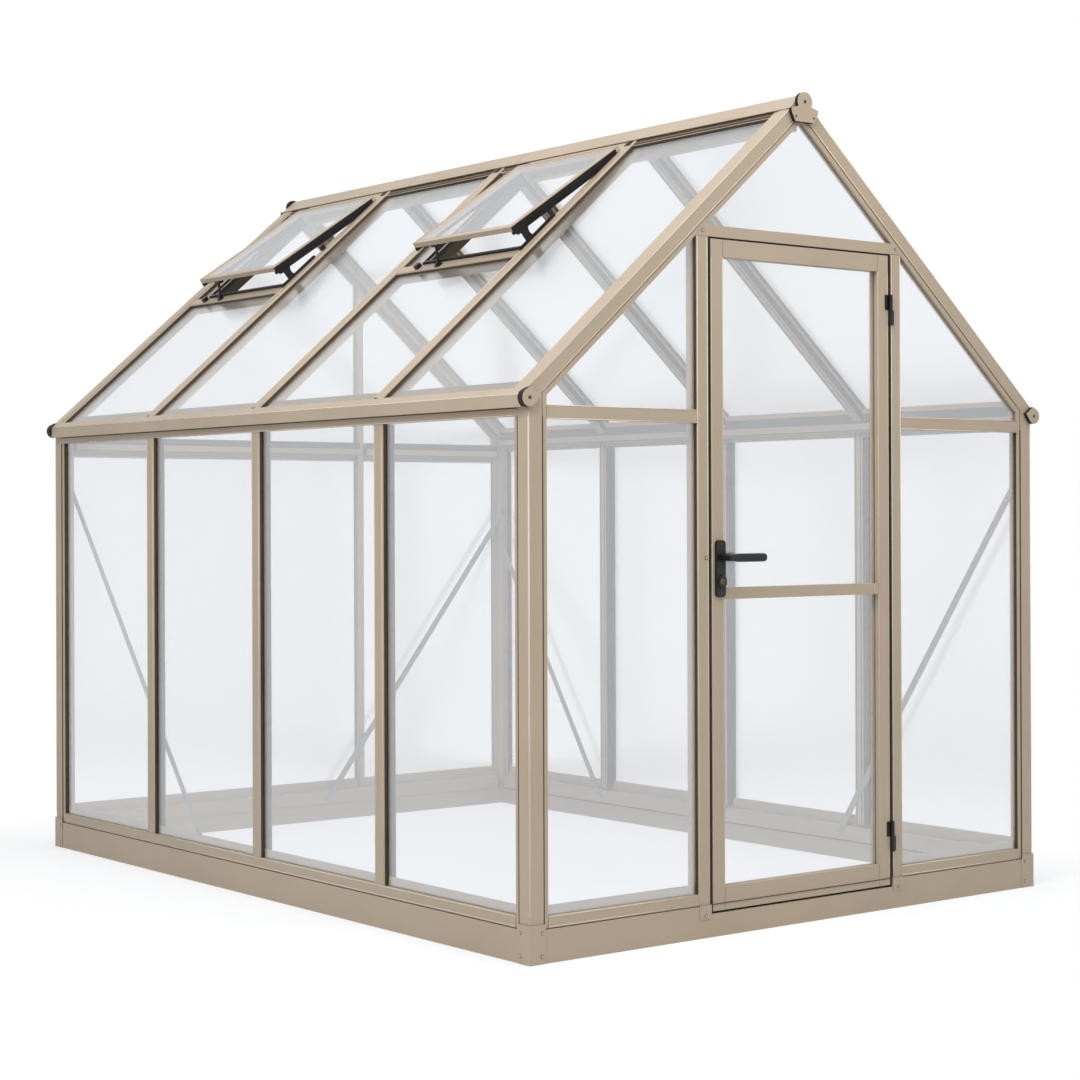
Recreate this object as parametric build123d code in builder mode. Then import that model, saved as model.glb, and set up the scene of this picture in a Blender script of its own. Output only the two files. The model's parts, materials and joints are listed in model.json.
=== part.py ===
from build123d import *

import math
import os

# Aluminium framed glass greenhouse with a hinged gable door and two propped roof vents.
# Millimetres. +Z is up, the door gable faces -Y and the ridge runs along Y over x = 0.
# The origin is on the ground, under the middle of the overall box.
os.makedirs("parts", exist_ok=True)

# Overall size
house_width = 1930
house_length = 2660
bay_count = 4
eave_height = 1447
roof_pitch = 41

# Plinth, corner plates and sills
plate_thickness = 2
plate_leg = 52
plate_height = 100
fin_thickness = 2
plinth_height = 86
plinth_tube_height = 62
plinth_tube_depth = 40
tube_wall = 2
sill_top = 118

# Glazing bars and corner sections
frame_depth = 44
cap_depth = 10
cap_bevel = 3
cap_edge = 7
glass_thickness = 4
channel_depth = 10
glass_bite = 8
bar_width = 44
leg_width = 36
rail_width = 36
corner_width = 44
rake_width = 38
lip_reach = 16
lip_groove = 2.5
lip_step = 1.5
open_end = 1
inner_lip = 3

# Eave beam
eave_drop = 68
eave_flange = 17
gutter_reach = 15
gutter_height = 34

# Ridge
ridge_wing = 60
capping_thickness = 3
ridge_flange_end = 85
ridge_flange_step = 5
ridge_groove_start = 63
ridge_groove_end = 80
ridge_groove_depth = 8
ridge_seat = 16
ridge_leg = 48
ridge_depth = 90

# End plates and their black caps
end_cap_depth = 11
end_cap_plug = 9
end_plate_thickness = 3
eave_plate_radius = 23
eave_bolt_drop = 24
eave_plate_reach = 34
eave_plate_rise = 6
ridge_plate_head = 27
ridge_brow_out = 21
ridge_brow_drop = 12
ridge_shoulder_drop = 20
ridge_shoulder_height = 9
ridge_bolt_drop = 18
ridge_plate_width = 100
ridge_plate_foot = 72
ridge_plate_drop = 74
ridge_screw_x = 34
ridge_screw_drop = 61
bolt_sink_radius = 5.5
screw_sink_radius = 3.6
sink_depth = 2

# Door and its surround
door_width = 684
door_bottom = 68
door_depth = 32
door_gap_side = 8.5
door_gap_top = 5
stile_width = 43.5
door_top_rail = 47
door_mid_rail = 31
door_bottom_rail = 63
door_mid_drop = 112
door_glass_inset = 14
jamb_width = 42
header_height = 31
header_drop = 1
rail_drop = 75
back_rail_drop = 113
back_rail_height = 71
back_rail_inset = 20
back_post_x = 272
back_post_width = 30
back_post_depth = 31
foot_plate_bottom = 50
foot_plate_top = 88
surround_plate_thickness = 1

# Hinges
hinge_pin_radius = 3
hinge_barrel_radius = 5.5
hinge_height = 86
hinge_rise = 96
hinge_drop = 198
hinge_leaf_width = 14
hinge_leaf_thickness = 2
pin_clearance = 0.05

# Handle
handle_inset = 27
handle_plate_width = 33
handle_plate_height = 153
handle_plate_thickness = 8
handle_plate_corner = 11
handle_plate_drop = 106
lever_height = 1013
lever_neck_radius = 8
lever_stand_off = 46
lever_length = 128
lever_thickness = 14
lever_width = 18
lever_bevel = 2.5
spindle_radius = 4.5
spindle_hole_radius = 6
lock_drop = 64
lock_radius = 6
lock_projection = 12

# Roof vents
vent_bays = (1, 3)
vent_side_lap = 10
vent_width = 490
vent_length = 490
vent_hinge_distance = 104
vent_opening_angle = 7
vent_trimmer_distance = 605
vent_frame_width = 28
vent_frame_depth = 16
vent_rebate = 8
hinge_rail_start = 62
hinge_rail_end = 108
side_bar_width = 30
vent_seal_width = 8
vent_seal_height = 6
vent_clearance = 1
side_channel_height = 15
side_channel_thickness = 6
side_channel_start = 20
vent_link_width = 24
vent_link_inset = 32
vent_link_corner = 6
vent_link_thickness = 5
vent_stay_width = 9
vent_stay_thickness = 5
vent_stay_inset = 95
vent_stay_foot = 26

# Rafter ends, before they are trimmed to the ridge and the eaves
rafter_start = 20
rafter_overrun = 5

# Wall braces, with feet in bay lengths from a side post and heads below the eaves
brace_width = 22
brace_thickness = 3
left_brace_foot = -0.42
left_brace_drop = 232
right_back_brace_foot = 0.03
right_back_brace_drop = 400
right_front_brace_foot = 0.14
right_front_brace_drop = 246
back_brace_foot = 158
back_brace_drop = 306

# Places worked out from the sizes
lever_reach = handle_plate_thickness + lever_stand_off
frame_set_back = plate_thickness + fin_thickness
end_plate_reach = end_cap_depth + end_plate_thickness
mid_y = (lever_reach - end_plate_reach) / 2
half_width = house_width / 2
half_length = house_length / 2
plinth_x = half_width - plate_thickness
plinth_y = half_length - plate_thickness
frame_x = half_width - frame_set_back
frame_y = half_length - frame_set_back
front_y = mid_y - frame_y
back_y = mid_y + frame_y
slope_cos = math.cos(math.radians(roof_pitch))
slope_sin = math.sin(math.radians(roof_pitch))
slope_tan = slope_sin / slope_cos
ridge_height = eave_height + half_width * slope_tan
bay_pitch = (2 * frame_y - corner_width) / bay_count
bar_places = [mid_y + (k - bay_count / 2) * bay_pitch for k in range(1, bay_count)]
glass_back = cap_depth + glass_thickness
lip_end = corner_width + lip_reach
rake_lip_end = rake_width + lip_reach
eave_bottom = eave_height - eave_drop
rail_bottom = eave_height - rail_drop
back_rail_bottom = eave_height - back_rail_drop
inner_x = frame_x - frame_depth
beam_start = front_y + frame_depth
beam_end = back_y - frame_depth
door_half = door_width / 2
jamb_inner = door_half + door_gap_side
jamb_outer = jamb_inner + jamb_width
rail_top = rail_bottom + rail_width
back_rail_top = back_rail_bottom + back_rail_height
leg_inset = (bar_width - leg_width) / 2
post_x = jamb_inner + jamb_width / 2
lock_height = lever_height - lock_drop
door_mid_bottom = lever_height - door_mid_drop
door_front = front_y
door_back = front_y + door_depth
hinge_x = door_half + door_gap_side / 2
hinge_y = front_y - hinge_barrel_radius - hinge_leaf_thickness / 2
handle_x = handle_inset - door_half
handle_plate_bottom = lever_height - handle_plate_drop
eave_cap_slope = frame_x / slope_cos
middle = Plane.XZ.offset(-mid_y)


def save(part, name):
    """Labels a finished piece and writes it."""
    part.label = name
    export_step(part, f"parts/{name}.step")


def roof_point(slope, depth):
    """A point (x, z) of the right roof slope, from the ridge line down and into the roof."""
    return (
        slope * slope_cos - depth * slope_sin,
        ridge_height - slope * slope_sin - depth * slope_cos,
    )


def roof_z(x, depth=0):
    """Height of the roof slope at x, a given depth below its outer face."""
    return ridge_height - x * slope_tan - depth / slope_cos


# Door height, so that the foot of its header meets the rakes at the jambs
header_bottom = roof_z(jamb_outer, rake_lip_end) - header_drop
header_top = header_bottom + header_height
door_top = header_bottom - door_gap_top
hinge_low = door_bottom + hinge_rise
hinge_high = door_top - hinge_drop


def block(low, high, mode=Mode.ADD):
    """A rectangle between two corners of the sketch that is open."""
    with Locations(((low[0] + high[0]) / 2, (low[1] + high[1]) / 2)):
        Rectangle(high[0] - low[0], high[1] - low[1], mode=mode)


def outline(points, mode=Mode.ADD):
    """A closed straight-sided face in the sketch that is open."""
    with BuildLine() as edge:
        Polyline(*points, close=True)
    make_face(edge.edges(), mode=mode)


def mirrored_outline(points, mode=Mode.ADD):
    """A face from the right half of its outline, from axis to axis."""
    with BuildLine() as edge:
        Polyline(*points)
        mirror(about=Plane.YZ)
    make_face(edge.edges(), mode=mode)


def section_plane(origin, inward, along):
    """A plane across a bar: local y points into the house and z along the bar."""
    return Plane(origin=origin, x_dir=Vector(inward).cross(Vector(along)), z_dir=along)


def slab(points, y_low, y_high, mode=Mode.ADD):
    """An outline of (x, z) points run along the house between two places."""
    with BuildSketch(Plane.XZ.offset(-y_low)) as face:
        outline(points)
    extrude(face.sketch, amount=y_low - y_high, mode=mode)


def glazing_bar(plane, length, width, inset=leg_inset, depth=frame_depth):
    """A bar with a bevelled cap, a pane channel in each side and a hollow leg."""
    half = width / 2
    web = half - channel_depth
    leg = half - inset
    step = glass_back + math.copysign(tube_wall, leg - web)
    with BuildSketch(plane) as section:
        mirrored_outline(
            [
                (0, 0),
                (half - cap_bevel, 0),
                (half, cap_bevel),
                (half, cap_depth),
                (web, cap_depth),
                (web, glass_back),
                (leg, glass_back),
                (leg, depth),
                (0, depth),
            ]
        )
        mirrored_outline(
            [
                (0, tube_wall),
                (web - tube_wall, tube_wall),
                (web - tube_wall, step),
                (leg - tube_wall, step),
                (leg - tube_wall, depth - tube_wall),
                (0, depth - tube_wall),
            ],
            mode=Mode.SUBTRACT,
        )
    extrude(section.sketch, amount=length)


def edge_bar(plane, length, width, hollow=True):
    """A box bar with one pane channel, in the side that local x points to."""
    half = width / 2
    with BuildSketch(plane) as section:
        block((-half, 0), (half, frame_depth))
        block((half - channel_depth, cap_depth), (half, glass_back), mode=Mode.SUBTRACT)
        if hollow:
            block(
                (tube_wall - half, tube_wall),
                (half - channel_depth - tube_wall, frame_depth - tube_wall),
                mode=Mode.SUBTRACT,
            )
    extrude(section.sketch, amount=length)


def lip_pair(width, side):
    """Outer and inner glazing lips beyond a corner section, towards local x or y."""
    end = width + lip_reach
    for low, high in (
        ((width - tube_wall, cap_edge), (end, cap_depth)),
        ((width + lip_groove, lip_step), (end, cap_depth)),
        ((width - tube_wall, glass_back), (end, glass_back + inner_lip)),
    ):
        if side == "y":
            block((low[1], low[0]), (high[1], high[0]))
        else:
            block(low, high)


def corner_box(width, depth):
    """The hollow box of a corner section, its outer corner at the sketch origin."""
    block((0, 0), (width, depth))
    block((tube_wall, tube_wall), (width - tube_wall, depth - tube_wall), mode=Mode.SUBTRACT)


def eave_envelope(fill_channels):
    """Outline of the right eave beam in (x, z)."""
    lower_flange = eave_bottom + eave_flange
    with_top = [
        (half_width + gutter_reach, roof_z(half_width + gutter_reach) - gutter_height),
        (half_width + gutter_reach, roof_z(half_width + gutter_reach)),
        roof_point(eave_cap_slope, 0),
        roof_point(eave_cap_slope, glass_back),
        (inner_x, roof_z(inner_x, glass_back)),
        (inner_x, lower_flange),
        (frame_x, lower_flange),
        (frame_x, roof_z(half_width + gutter_reach) - gutter_height),
    ]
    outline(with_top)
    if fill_channels:
        return
    outline(
        [
            roof_point(eave_cap_slope - open_end, cap_depth),
            roof_point(eave_cap_slope - open_end, glass_back),
            roof_point(eave_cap_slope + channel_depth, glass_back),
            roof_point(eave_cap_slope + channel_depth, cap_depth),
        ],
        mode=Mode.SUBTRACT,
    )


def ridge_outline():
    """Right half of the ridge beam's outline in (x, z), from the top down."""
    leg = ridge_leg / 2
    support = glass_back + inner_lip
    return [
        (0, ridge_height),
        roof_point(ridge_seat, 0),
        roof_point(ridge_seat, ridge_flange_step),
        roof_point(ridge_groove_start, ridge_flange_step),
        roof_point(ridge_groove_start, ridge_groove_depth),
        roof_point(ridge_groove_end, ridge_groove_depth),
        roof_point(ridge_groove_end, ridge_flange_step),
        roof_point(ridge_flange_end, ridge_flange_step),
        roof_point(ridge_flange_end, support),
        (leg, roof_z(leg, support)),
        (leg, ridge_height - ridge_depth),
        (0, ridge_height - ridge_depth),
    ]


def cut_roof_bars(y_low, y_high):
    """Trims bars of both slopes to the ridge beam and the eave beams."""
    with BuildSketch(Plane.XZ.offset(-y_low)) as ends:
        mirrored_outline(ridge_outline())
        with BuildSketch(Plane.XY, mode=Mode.PRIVATE) as eave:
            eave_envelope(fill_channels=True)
        add(eave.sketch)
        add(mirror(eave.sketch, about=Plane.YZ, mode=Mode.PRIVATE))
    extrude(ends.sketch, amount=y_low - y_high, mode=Mode.SUBTRACT)


def gable_pane(x_low, x_high, z_low, z_high, y):
    """A gable pane between two uprights, cut to the rakes above it."""
    edge = rake_width + glass_bite
    with BuildSketch(Plane.XZ.offset(-y)) as pane:
        block((x_low, z_low), (x_high, z_high))
        mirrored_outline(
            [
                (0, roof_z(0, edge)),
                (house_width, roof_z(house_width, edge)),
                (house_width, -house_width),
                (0, -house_width),
            ],
            mode=Mode.INTERSECT,
        )
    extrude(pane.sketch, amount=-glass_thickness)


# Plinth: a box section with an outer fin, mitred at the corners
def plinth_run(plane, length):
    """Plinth section run along the plane's normal, local x inwards and y up."""
    with BuildSketch(plane) as section:
        block((0, 0), (plinth_tube_depth, plinth_tube_height))
        block((0, 0), (fin_thickness, plinth_height))
        block(
            (tube_wall, tube_wall),
            (plinth_tube_depth - tube_wall, plinth_tube_height - tube_wall),
            mode=Mode.SUBTRACT,
        )
    extrude(section.sketch, amount=length)


def mitre(corner_x, corner_y, keep_dir):
    """Cuts the open part on the upright plane that halves a corner of the plinth."""
    across = Vector(corner_x, corner_y - mid_y, 0)
    diagonal = Vector(math.copysign(1, across.X), math.copysign(1, across.Y), 0)
    normal = Vector(diagonal.Y, -diagonal.X, 0)
    if normal.dot(Vector(*keep_dir)) < 0:
        normal = normal * -1
    split(bisect_by=Plane(origin=(corner_x, corner_y, 0), z_dir=normal), keep=Keep.TOP)


with BuildPart() as plinth_left:
    plinth_run(
        Plane(origin=(-plinth_x, mid_y + plinth_y, 0), x_dir=(1, 0, 0), z_dir=(0, -1, 0)),
        2 * plinth_y,
    )
    mitre(-plinth_x, mid_y - plinth_y, (0, 1, 0))
    mitre(-plinth_x, mid_y + plinth_y, (0, -1, 0))
save(plinth_left.part, "plinth_left")

with BuildPart() as plinth_right:
    add(plinth_left.part)
    mirror(about=Plane.YZ, mode=Mode.REPLACE)
save(plinth_right.part, "plinth_right")

with BuildPart() as plinth_back:
    plinth_run(
        Plane(origin=(plinth_x, mid_y + plinth_y, 0), x_dir=(0, -1, 0), z_dir=(-1, 0, 0)),
        2 * plinth_x,
    )
    mitre(-plinth_x, mid_y + plinth_y, (1, 0, 0))
    mitre(plinth_x, mid_y + plinth_y, (-1, 0, 0))
save(plinth_back.part, "plinth_back")

with BuildPart() as plinth_front:
    add(plinth_back.part)
    mirror(about=middle, mode=Mode.REPLACE)
    with BuildSketch(Plane.XY.offset(plinth_tube_height)) as doorway:
        with Locations((0, mid_y - plinth_y + fin_thickness / 2)):
            Rectangle(2 * jamb_inner, fin_thickness)
    extrude(amount=plinth_height, mode=Mode.SUBTRACT)
save(plinth_front.part, "plinth_front")

with BuildPart() as plinth_corner_plates:
    with BuildSketch():
        block((-half_width, mid_y - half_length), (plate_leg - half_width, mid_y - plinth_y))
        block((-half_width, mid_y - half_length), (-plinth_x, mid_y - half_length + plate_leg))
    extrude(amount=plate_height)
    mirror(about=Plane.YZ)
    mirror(about=middle)
save(plinth_corner_plates.part, "plinth_corner_plates")


# Sills: a box on the plinth with two lips that hold the foot of the panes
def sill_run(plane, length):
    """Sill section run along the plane's normal, local x inwards and y up."""
    shelf = sill_top - channel_depth
    with BuildSketch(plane) as section:
        block((0, plinth_tube_height), (frame_depth, shelf))
        block((0, shelf), (cap_depth, sill_top))
        block((glass_back, shelf), (glass_back + inner_lip, sill_top))
        block(
            (tube_wall, plinth_tube_height + tube_wall),
            (frame_depth - tube_wall, shelf - tube_wall),
            mode=Mode.SUBTRACT,
        )
    extrude(section.sketch, amount=length)


with BuildPart() as sill_left:
    sill_run(
        Plane(origin=(-frame_x, back_y - lip_end, 0), x_dir=(1, 0, 0), z_dir=(0, -1, 0)),
        2 * (frame_y - lip_end),
    )
save(sill_left.part, "sill_left")

with BuildPart() as sill_right:
    add(sill_left.part)
    mirror(about=Plane.YZ, mode=Mode.REPLACE)
save(sill_right.part, "sill_right")

with BuildPart() as sill_back:
    sill_run(
        Plane(origin=(frame_x - lip_end, back_y, 0), x_dir=(0, -1, 0), z_dir=(-1, 0, 0)),
        2 * (frame_x - lip_end),
    )
save(sill_back.part, "sill_back")

with BuildPart() as sills_front:
    sill_run(
        Plane(origin=(lip_end - frame_x, front_y, 0), x_dir=(0, 1, 0), z_dir=(1, 0, 0)),
        frame_x - lip_end - jamb_outer,
    )
    mirror(about=Plane.YZ)
save(sills_front.part, "sills_front")

# Corner posts, cut to the slope under the rakes
with BuildPart() as corner_posts:
    post_top = roof_z(frame_x - lip_end, rake_width)
    with BuildSketch(Plane(origin=(-frame_x, front_y, plinth_tube_height))) as body:
        corner_box(corner_width, corner_width)
        lip_pair(corner_width, "x")
    extrude(amount=post_top - plinth_tube_height)
    with BuildSketch(Plane(origin=(-frame_x, front_y, plinth_tube_height))) as side_lips:
        lip_pair(corner_width, "y")
    extrude(amount=eave_bottom - plinth_tube_height)
    split(
        bisect_by=Plane(
            origin=(-frame_x, front_y, roof_z(frame_x, rake_width)),
            z_dir=(slope_sin, 0, -slope_cos),
        ),
        keep=Keep.TOP,
    )
    mirror(about=Plane.YZ)
    mirror(about=middle)
save(corner_posts.part, "corner_posts")

# Side posts, from the sill to the eave beam
for side, name in ((-1, "side_posts_left"), (1, "side_posts_right")):
    with BuildPart() as side_posts:
        for place in bar_places:
            glazing_bar(
                section_plane((side * frame_x, place, sill_top), (-side, 0, 0), (0, 0, 1)),
                eave_bottom - sill_top,
                bar_width,
            )
    save(side_posts.part, name)

# Door jambs, from the plinth to the header
for side, name in ((-1, "door_jamb_left"), (1, "door_jamb_right")):
    with BuildPart() as jamb:
        edge_bar(
            Plane(
                origin=(side * post_x, front_y, plinth_tube_height),
                x_dir=(1, 0, 0),
                z_dir=(0, 0, 1),
            ),
            header_bottom - plinth_tube_height,
            jamb_width,
        )
        if side < 0:
            mirror(about=Plane.YZ.offset(side * post_x), mode=Mode.REPLACE)
    save(jamb.part, name)

# Door header, with its ends cut to the rakes
with BuildPart() as door_header:
    header_length = 2 * jamb_outer
    with BuildSketch(
        Plane(origin=(-header_length / 2, front_y, header_bottom), x_dir=(0, 1, 0), z_dir=(1, 0, 0))
    ) as section:
        block((0, 0), (frame_depth, header_height))
        block(
            (cap_depth, header_height - channel_depth),
            (glass_back, header_height),
            mode=Mode.SUBTRACT,
        )
        block(
            (tube_wall, tube_wall),
            (frame_depth - tube_wall, header_height - channel_depth - tube_wall),
            mode=Mode.SUBTRACT,
        )
    extrude(amount=header_length)
    for side in (-1, 1):
        split(
            bisect_by=Plane(
                origin=(0, front_y, roof_z(0, rake_lip_end)),
                z_dir=(-side * slope_sin, 0, -slope_cos),
            ),
            keep=Keep.TOP,
        )
save(door_header.part, "door_header")

# Plates over the ends of the header and the feet of the jambs
with BuildPart() as door_surround_plates:
    with BuildSketch(Plane.XZ.offset(surround_plate_thickness - front_y)) as heads:
        block((jamb_inner, header_bottom), (jamb_outer, header_top))
    extrude(amount=-surround_plate_thickness)
    split(
        bisect_by=Plane(
            origin=(0, front_y, roof_z(0, rake_lip_end)), z_dir=(-slope_sin, 0, -slope_cos)
        ),
        keep=Keep.TOP,
    )
    with BuildSketch(Plane.XZ.offset(half_length - mid_y)) as feet:
        block((jamb_inner, foot_plate_bottom), (jamb_outer, foot_plate_top))
    extrude(amount=-plate_thickness)
    mirror(about=Plane.YZ)
save(door_surround_plates.part, "door_surround_plates")

# Front rails at eave height, each side of the door
with BuildPart() as gable_rails_front:
    glazing_bar(
        section_plane(
            (lip_end - frame_x, front_y, rail_bottom + rail_width / 2), (0, 1, 0), (1, 0, 0)
        ),
        frame_x - lip_end - jamb_outer,
        rail_width,
    )
    mirror(about=Plane.YZ)
save(gable_rails_front.part, "gable_rails_front")

# Back gable post, cut to the rake above it, and the rail on each side of it
with BuildPart() as gable_posts_back:
    glazing_bar(
        section_plane((back_post_x, back_y, sill_top), (0, -1, 0), (0, 0, 1)),
        roof_z(back_post_x - back_post_width / 2, rake_lip_end) - sill_top,
        back_post_width,
        depth=back_post_depth,
    )
    split(
        bisect_by=Plane(
            origin=(0, back_y, roof_z(0, rake_lip_end)), z_dir=(-slope_sin, 0, -slope_cos)
        ),
        keep=Keep.TOP,
    )
save(gable_posts_back.part, "gable_posts_back")

with BuildPart() as gable_rails_back:
    rail_middle = back_rail_bottom + back_rail_height / 2
    post_edges = (back_post_x - back_post_width / 2, back_post_x + back_post_width / 2)
    for low, high in ((lip_end - frame_x, post_edges[0]), (post_edges[1], frame_x - lip_end)):
        glazing_bar(
            section_plane((low, back_y, rail_middle), (0, -1, 0), (1, 0, 0)),
            high - low,
            back_rail_height,
            inset=back_rail_inset,
        )
save(gable_rails_back.part, "gable_rails_back")

# Rakes, the sloping corner sections of the gables
rake_run = eave_cap_slope + corner_width


def rake(side):
    """Front rake of one slope: mitred at the ridge, cut upright at the eave."""
    along = (side * slope_cos, 0, -slope_sin)
    inward = (-side * slope_sin, 0, -slope_cos)
    start = Vector(0, front_y, ridge_height) - Vector(*along) * corner_width
    plane = Plane(origin=start, x_dir=inward, z_dir=along)
    toward_back = 1 if plane.y_dir.Y > 0 else -1
    with BuildSketch(plane) as body:
        block((0, 0), (rake_width, toward_back * frame_depth))
        block(
            (tube_wall, toward_back * tube_wall),
            (rake_width - tube_wall, toward_back * (frame_depth - tube_wall)),
            mode=Mode.SUBTRACT,
        )
    extrude(body.sketch, amount=rake_run + corner_width)
    with BuildSketch(plane) as roof_lips:
        for low, high in (
            ((cap_edge, frame_depth - tube_wall), (cap_depth, frame_depth + lip_reach)),
            ((lip_step, frame_depth + lip_groove), (cap_depth, frame_depth + lip_reach)),
            (
                (glass_back, frame_depth - tube_wall),
                (glass_back + inner_lip, frame_depth + lip_reach),
            ),
        ):
            block((low[0], toward_back * low[1]), (high[0], toward_back * high[1]))
    extrude(roof_lips.sketch, amount=rake_run + corner_width)
    with BuildSketch(plane) as gable_lips:
        for low, high in (
            ((rake_width - tube_wall, cap_edge), (rake_lip_end, cap_depth)),
            ((rake_width + lip_groove, lip_step), (rake_lip_end, cap_depth)),
            ((rake_width - tube_wall, glass_back), (rake_lip_end, glass_back + inner_lip)),
        ):
            block((low[0], toward_back * low[1]), (high[0], toward_back * high[1]))
    extrude(gable_lips.sketch, amount=rake_run + corner_width)
    split(bisect_by=Plane(origin=(0, 0, 0), z_dir=(side, 0, 0)), keep=Keep.TOP)
    split(bisect_by=Plane(origin=(side * frame_x, 0, 0), z_dir=(-side, 0, 0)), keep=Keep.TOP)
    with BuildSketch(Plane.XZ.offset(-front_y)) as post_room:
        outline(
            [
                (side * (frame_x - lip_end), roof_z(frame_x - lip_end, rake_width)),
                (side * half_width, roof_z(half_width, rake_width)),
                (side * half_width, eave_bottom - corner_width),
                (side * (frame_x - lip_end), eave_bottom - corner_width),
            ]
        )
    extrude(post_room.sketch, amount=-frame_depth, mode=Mode.SUBTRACT)
    cut_roof_bars(beam_start, beam_start + lip_reach)


with BuildPart() as rake_front_left:
    rake(-1)
save(rake_front_left.part, "rake_front_left")

with BuildPart() as rake_front_right:
    rake(1)
save(rake_front_right.part, "rake_front_right")

with BuildPart() as rake_back_left:
    add(rake_front_left.part)
    mirror(about=middle, mode=Mode.REPLACE)
save(rake_back_left.part, "rake_back_left")

with BuildPart() as rake_back_right:
    add(rake_front_right.part)
    mirror(about=middle, mode=Mode.REPLACE)
save(rake_back_right.part, "rake_back_right")

# Eave beams with the gutter nose along their outer side
with BuildPart() as eave_beam_right:
    with BuildSketch(Plane.XZ.offset(-beam_start)) as beam:
        eave_envelope(fill_channels=False)
        for low, high in (
            (frame_x - cap_depth, frame_x),
            (frame_x - glass_back - inner_lip, frame_x - glass_back),
        ):
            block((low, eave_bottom), (high, eave_bottom + eave_flange))
        block(
            (frame_x - glass_back, eave_bottom + channel_depth),
            (frame_x - cap_depth, eave_bottom + eave_flange),
        )
        outline(
            [
                (inner_x + tube_wall, eave_bottom + eave_flange + tube_wall),
                (frame_x, eave_bottom + eave_flange + tube_wall),
                (frame_x, roof_z(frame_x, glass_back + tube_wall)),
                (inner_x + tube_wall, roof_z(inner_x + tube_wall, glass_back + tube_wall)),
            ],
            mode=Mode.SUBTRACT,
        )
    extrude(amount=beam_start - beam_end)
    nose_x = half_width + gutter_reach
    nose_bottom = roof_z(nose_x) - gutter_height
    nose_low = front_y + end_cap_plug
    nose_high = back_y - end_cap_plug
    nose = [
        (frame_x, nose_bottom),
        (nose_x, nose_bottom),
        (nose_x, roof_z(nose_x)),
        (frame_x, roof_z(frame_x)),
    ]
    slab(nose, nose_low, beam_start)
    slab(nose, beam_end, nose_high)
save(eave_beam_right.part, "eave_beam_right")

with BuildPart() as eave_beam_left:
    add(eave_beam_right.part)
    mirror(about=Plane.YZ, mode=Mode.REPLACE)
save(eave_beam_left.part, "eave_beam_left")

# Ridge beam and the capping over it
with BuildPart() as ridge_beam:
    with BuildSketch(Plane.XZ.offset(-beam_start)) as beam:
        mirrored_outline(ridge_outline())
        hollow_top = glass_back + inner_lip + tube_wall
        hollow_side = ridge_leg / 2 - tube_wall
        mirrored_outline(
            [
                (0, roof_z(0, hollow_top)),
                (hollow_side, roof_z(hollow_side, hollow_top)),
                (hollow_side, ridge_height - ridge_depth + tube_wall),
                (0, ridge_height - ridge_depth + tube_wall),
            ],
            mode=Mode.SUBTRACT,
        )
        for side in (-1, 1):
            channel = [
                roof_point(ridge_flange_end - channel_depth, cap_depth),
                roof_point(ridge_flange_end + open_end, cap_depth),
                roof_point(ridge_flange_end + open_end, glass_back),
                roof_point(ridge_flange_end - channel_depth, glass_back),
            ]
            outline([(side * x, z) for x, z in channel], mode=Mode.SUBTRACT)
    extrude(amount=beam_start - beam_end)
save(ridge_beam.part, "ridge_beam")

with BuildPart() as ridge_capping:
    with BuildSketch(Plane.XZ.offset(-front_y)) as capping:
        mirrored_outline(
            [
                (0, roof_z(0, -capping_thickness)),
                roof_point(ridge_wing, -capping_thickness),
                roof_point(ridge_wing, 0),
                (0, ridge_height),
            ]
        )
    extrude(amount=front_y - back_y)
save(ridge_capping.part, "ridge_capping")


# End plates and the black caps behind them
def eave_plate_outline():
    """Leaf outline of the right eave end plate in (x, z)."""
    bolt = (half_width, roof_z(half_width) - eave_bolt_drop)
    top = roof_point(eave_cap_slope, 0)
    inner = (half_width - eave_plate_reach, bolt[1] + eave_plate_rise)
    with BuildLine() as edge:
        CenterArc(bolt, eave_plate_radius, 0, 360)
        Line(top, inner)
    make_hull(edge.edges())


def ridge_plate_outline():
    """Outline of the ridge end plate in (x, z), a round head on wide shoulders."""
    bolt_z = ridge_height - ridge_bolt_drop
    shoulder = bolt_z - ridge_shoulder_drop
    foot = ridge_height - ridge_plate_drop
    mirrored_outline(
        [
            (0, bolt_z),
            (ridge_brow_out, bolt_z - ridge_brow_drop),
            (ridge_plate_width / 2, shoulder),
            (ridge_plate_width / 2, shoulder - ridge_shoulder_height),
            (ridge_plate_foot / 2, foot),
            (0, foot),
        ]
    )
    with Locations((0, bolt_z)):
        Circle(ridge_plate_head)


with BuildPart() as eave_end_caps:
    with BuildSketch(Plane.XZ.offset(end_cap_depth - front_y)) as cap:
        eave_plate_outline()
    extrude(amount=-end_cap_depth)
    with BuildSketch(Plane.XZ.offset(-front_y)) as plug:
        eave_plate_outline()
        block((0, 0), (frame_x, ridge_height), mode=Mode.SUBTRACT)
    extrude(amount=-end_cap_plug)
    mirror(about=Plane.YZ)
    mirror(about=middle)
save(eave_end_caps.part, "eave_end_caps")

with BuildPart() as eave_end_plates:
    with BuildSketch(Plane.XZ.offset(end_cap_depth - front_y)) as plate:
        eave_plate_outline()
    extrude(amount=end_plate_thickness)
    with BuildSketch(Plane.XZ.offset(end_plate_reach - front_y)) as sink:
        with Locations((half_width, roof_z(half_width) - eave_bolt_drop)):
            Circle(bolt_sink_radius)
    extrude(amount=-sink_depth, mode=Mode.SUBTRACT)
    mirror(about=Plane.YZ)
    mirror(about=middle)
save(eave_end_plates.part, "eave_end_plates")

with BuildPart() as ridge_end_caps:
    with BuildSketch(Plane.XZ.offset(end_cap_depth - front_y)) as cap:
        ridge_plate_outline()
    extrude(amount=-end_cap_depth)
    mirror(about=middle)
save(ridge_end_caps.part, "ridge_end_caps")

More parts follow.
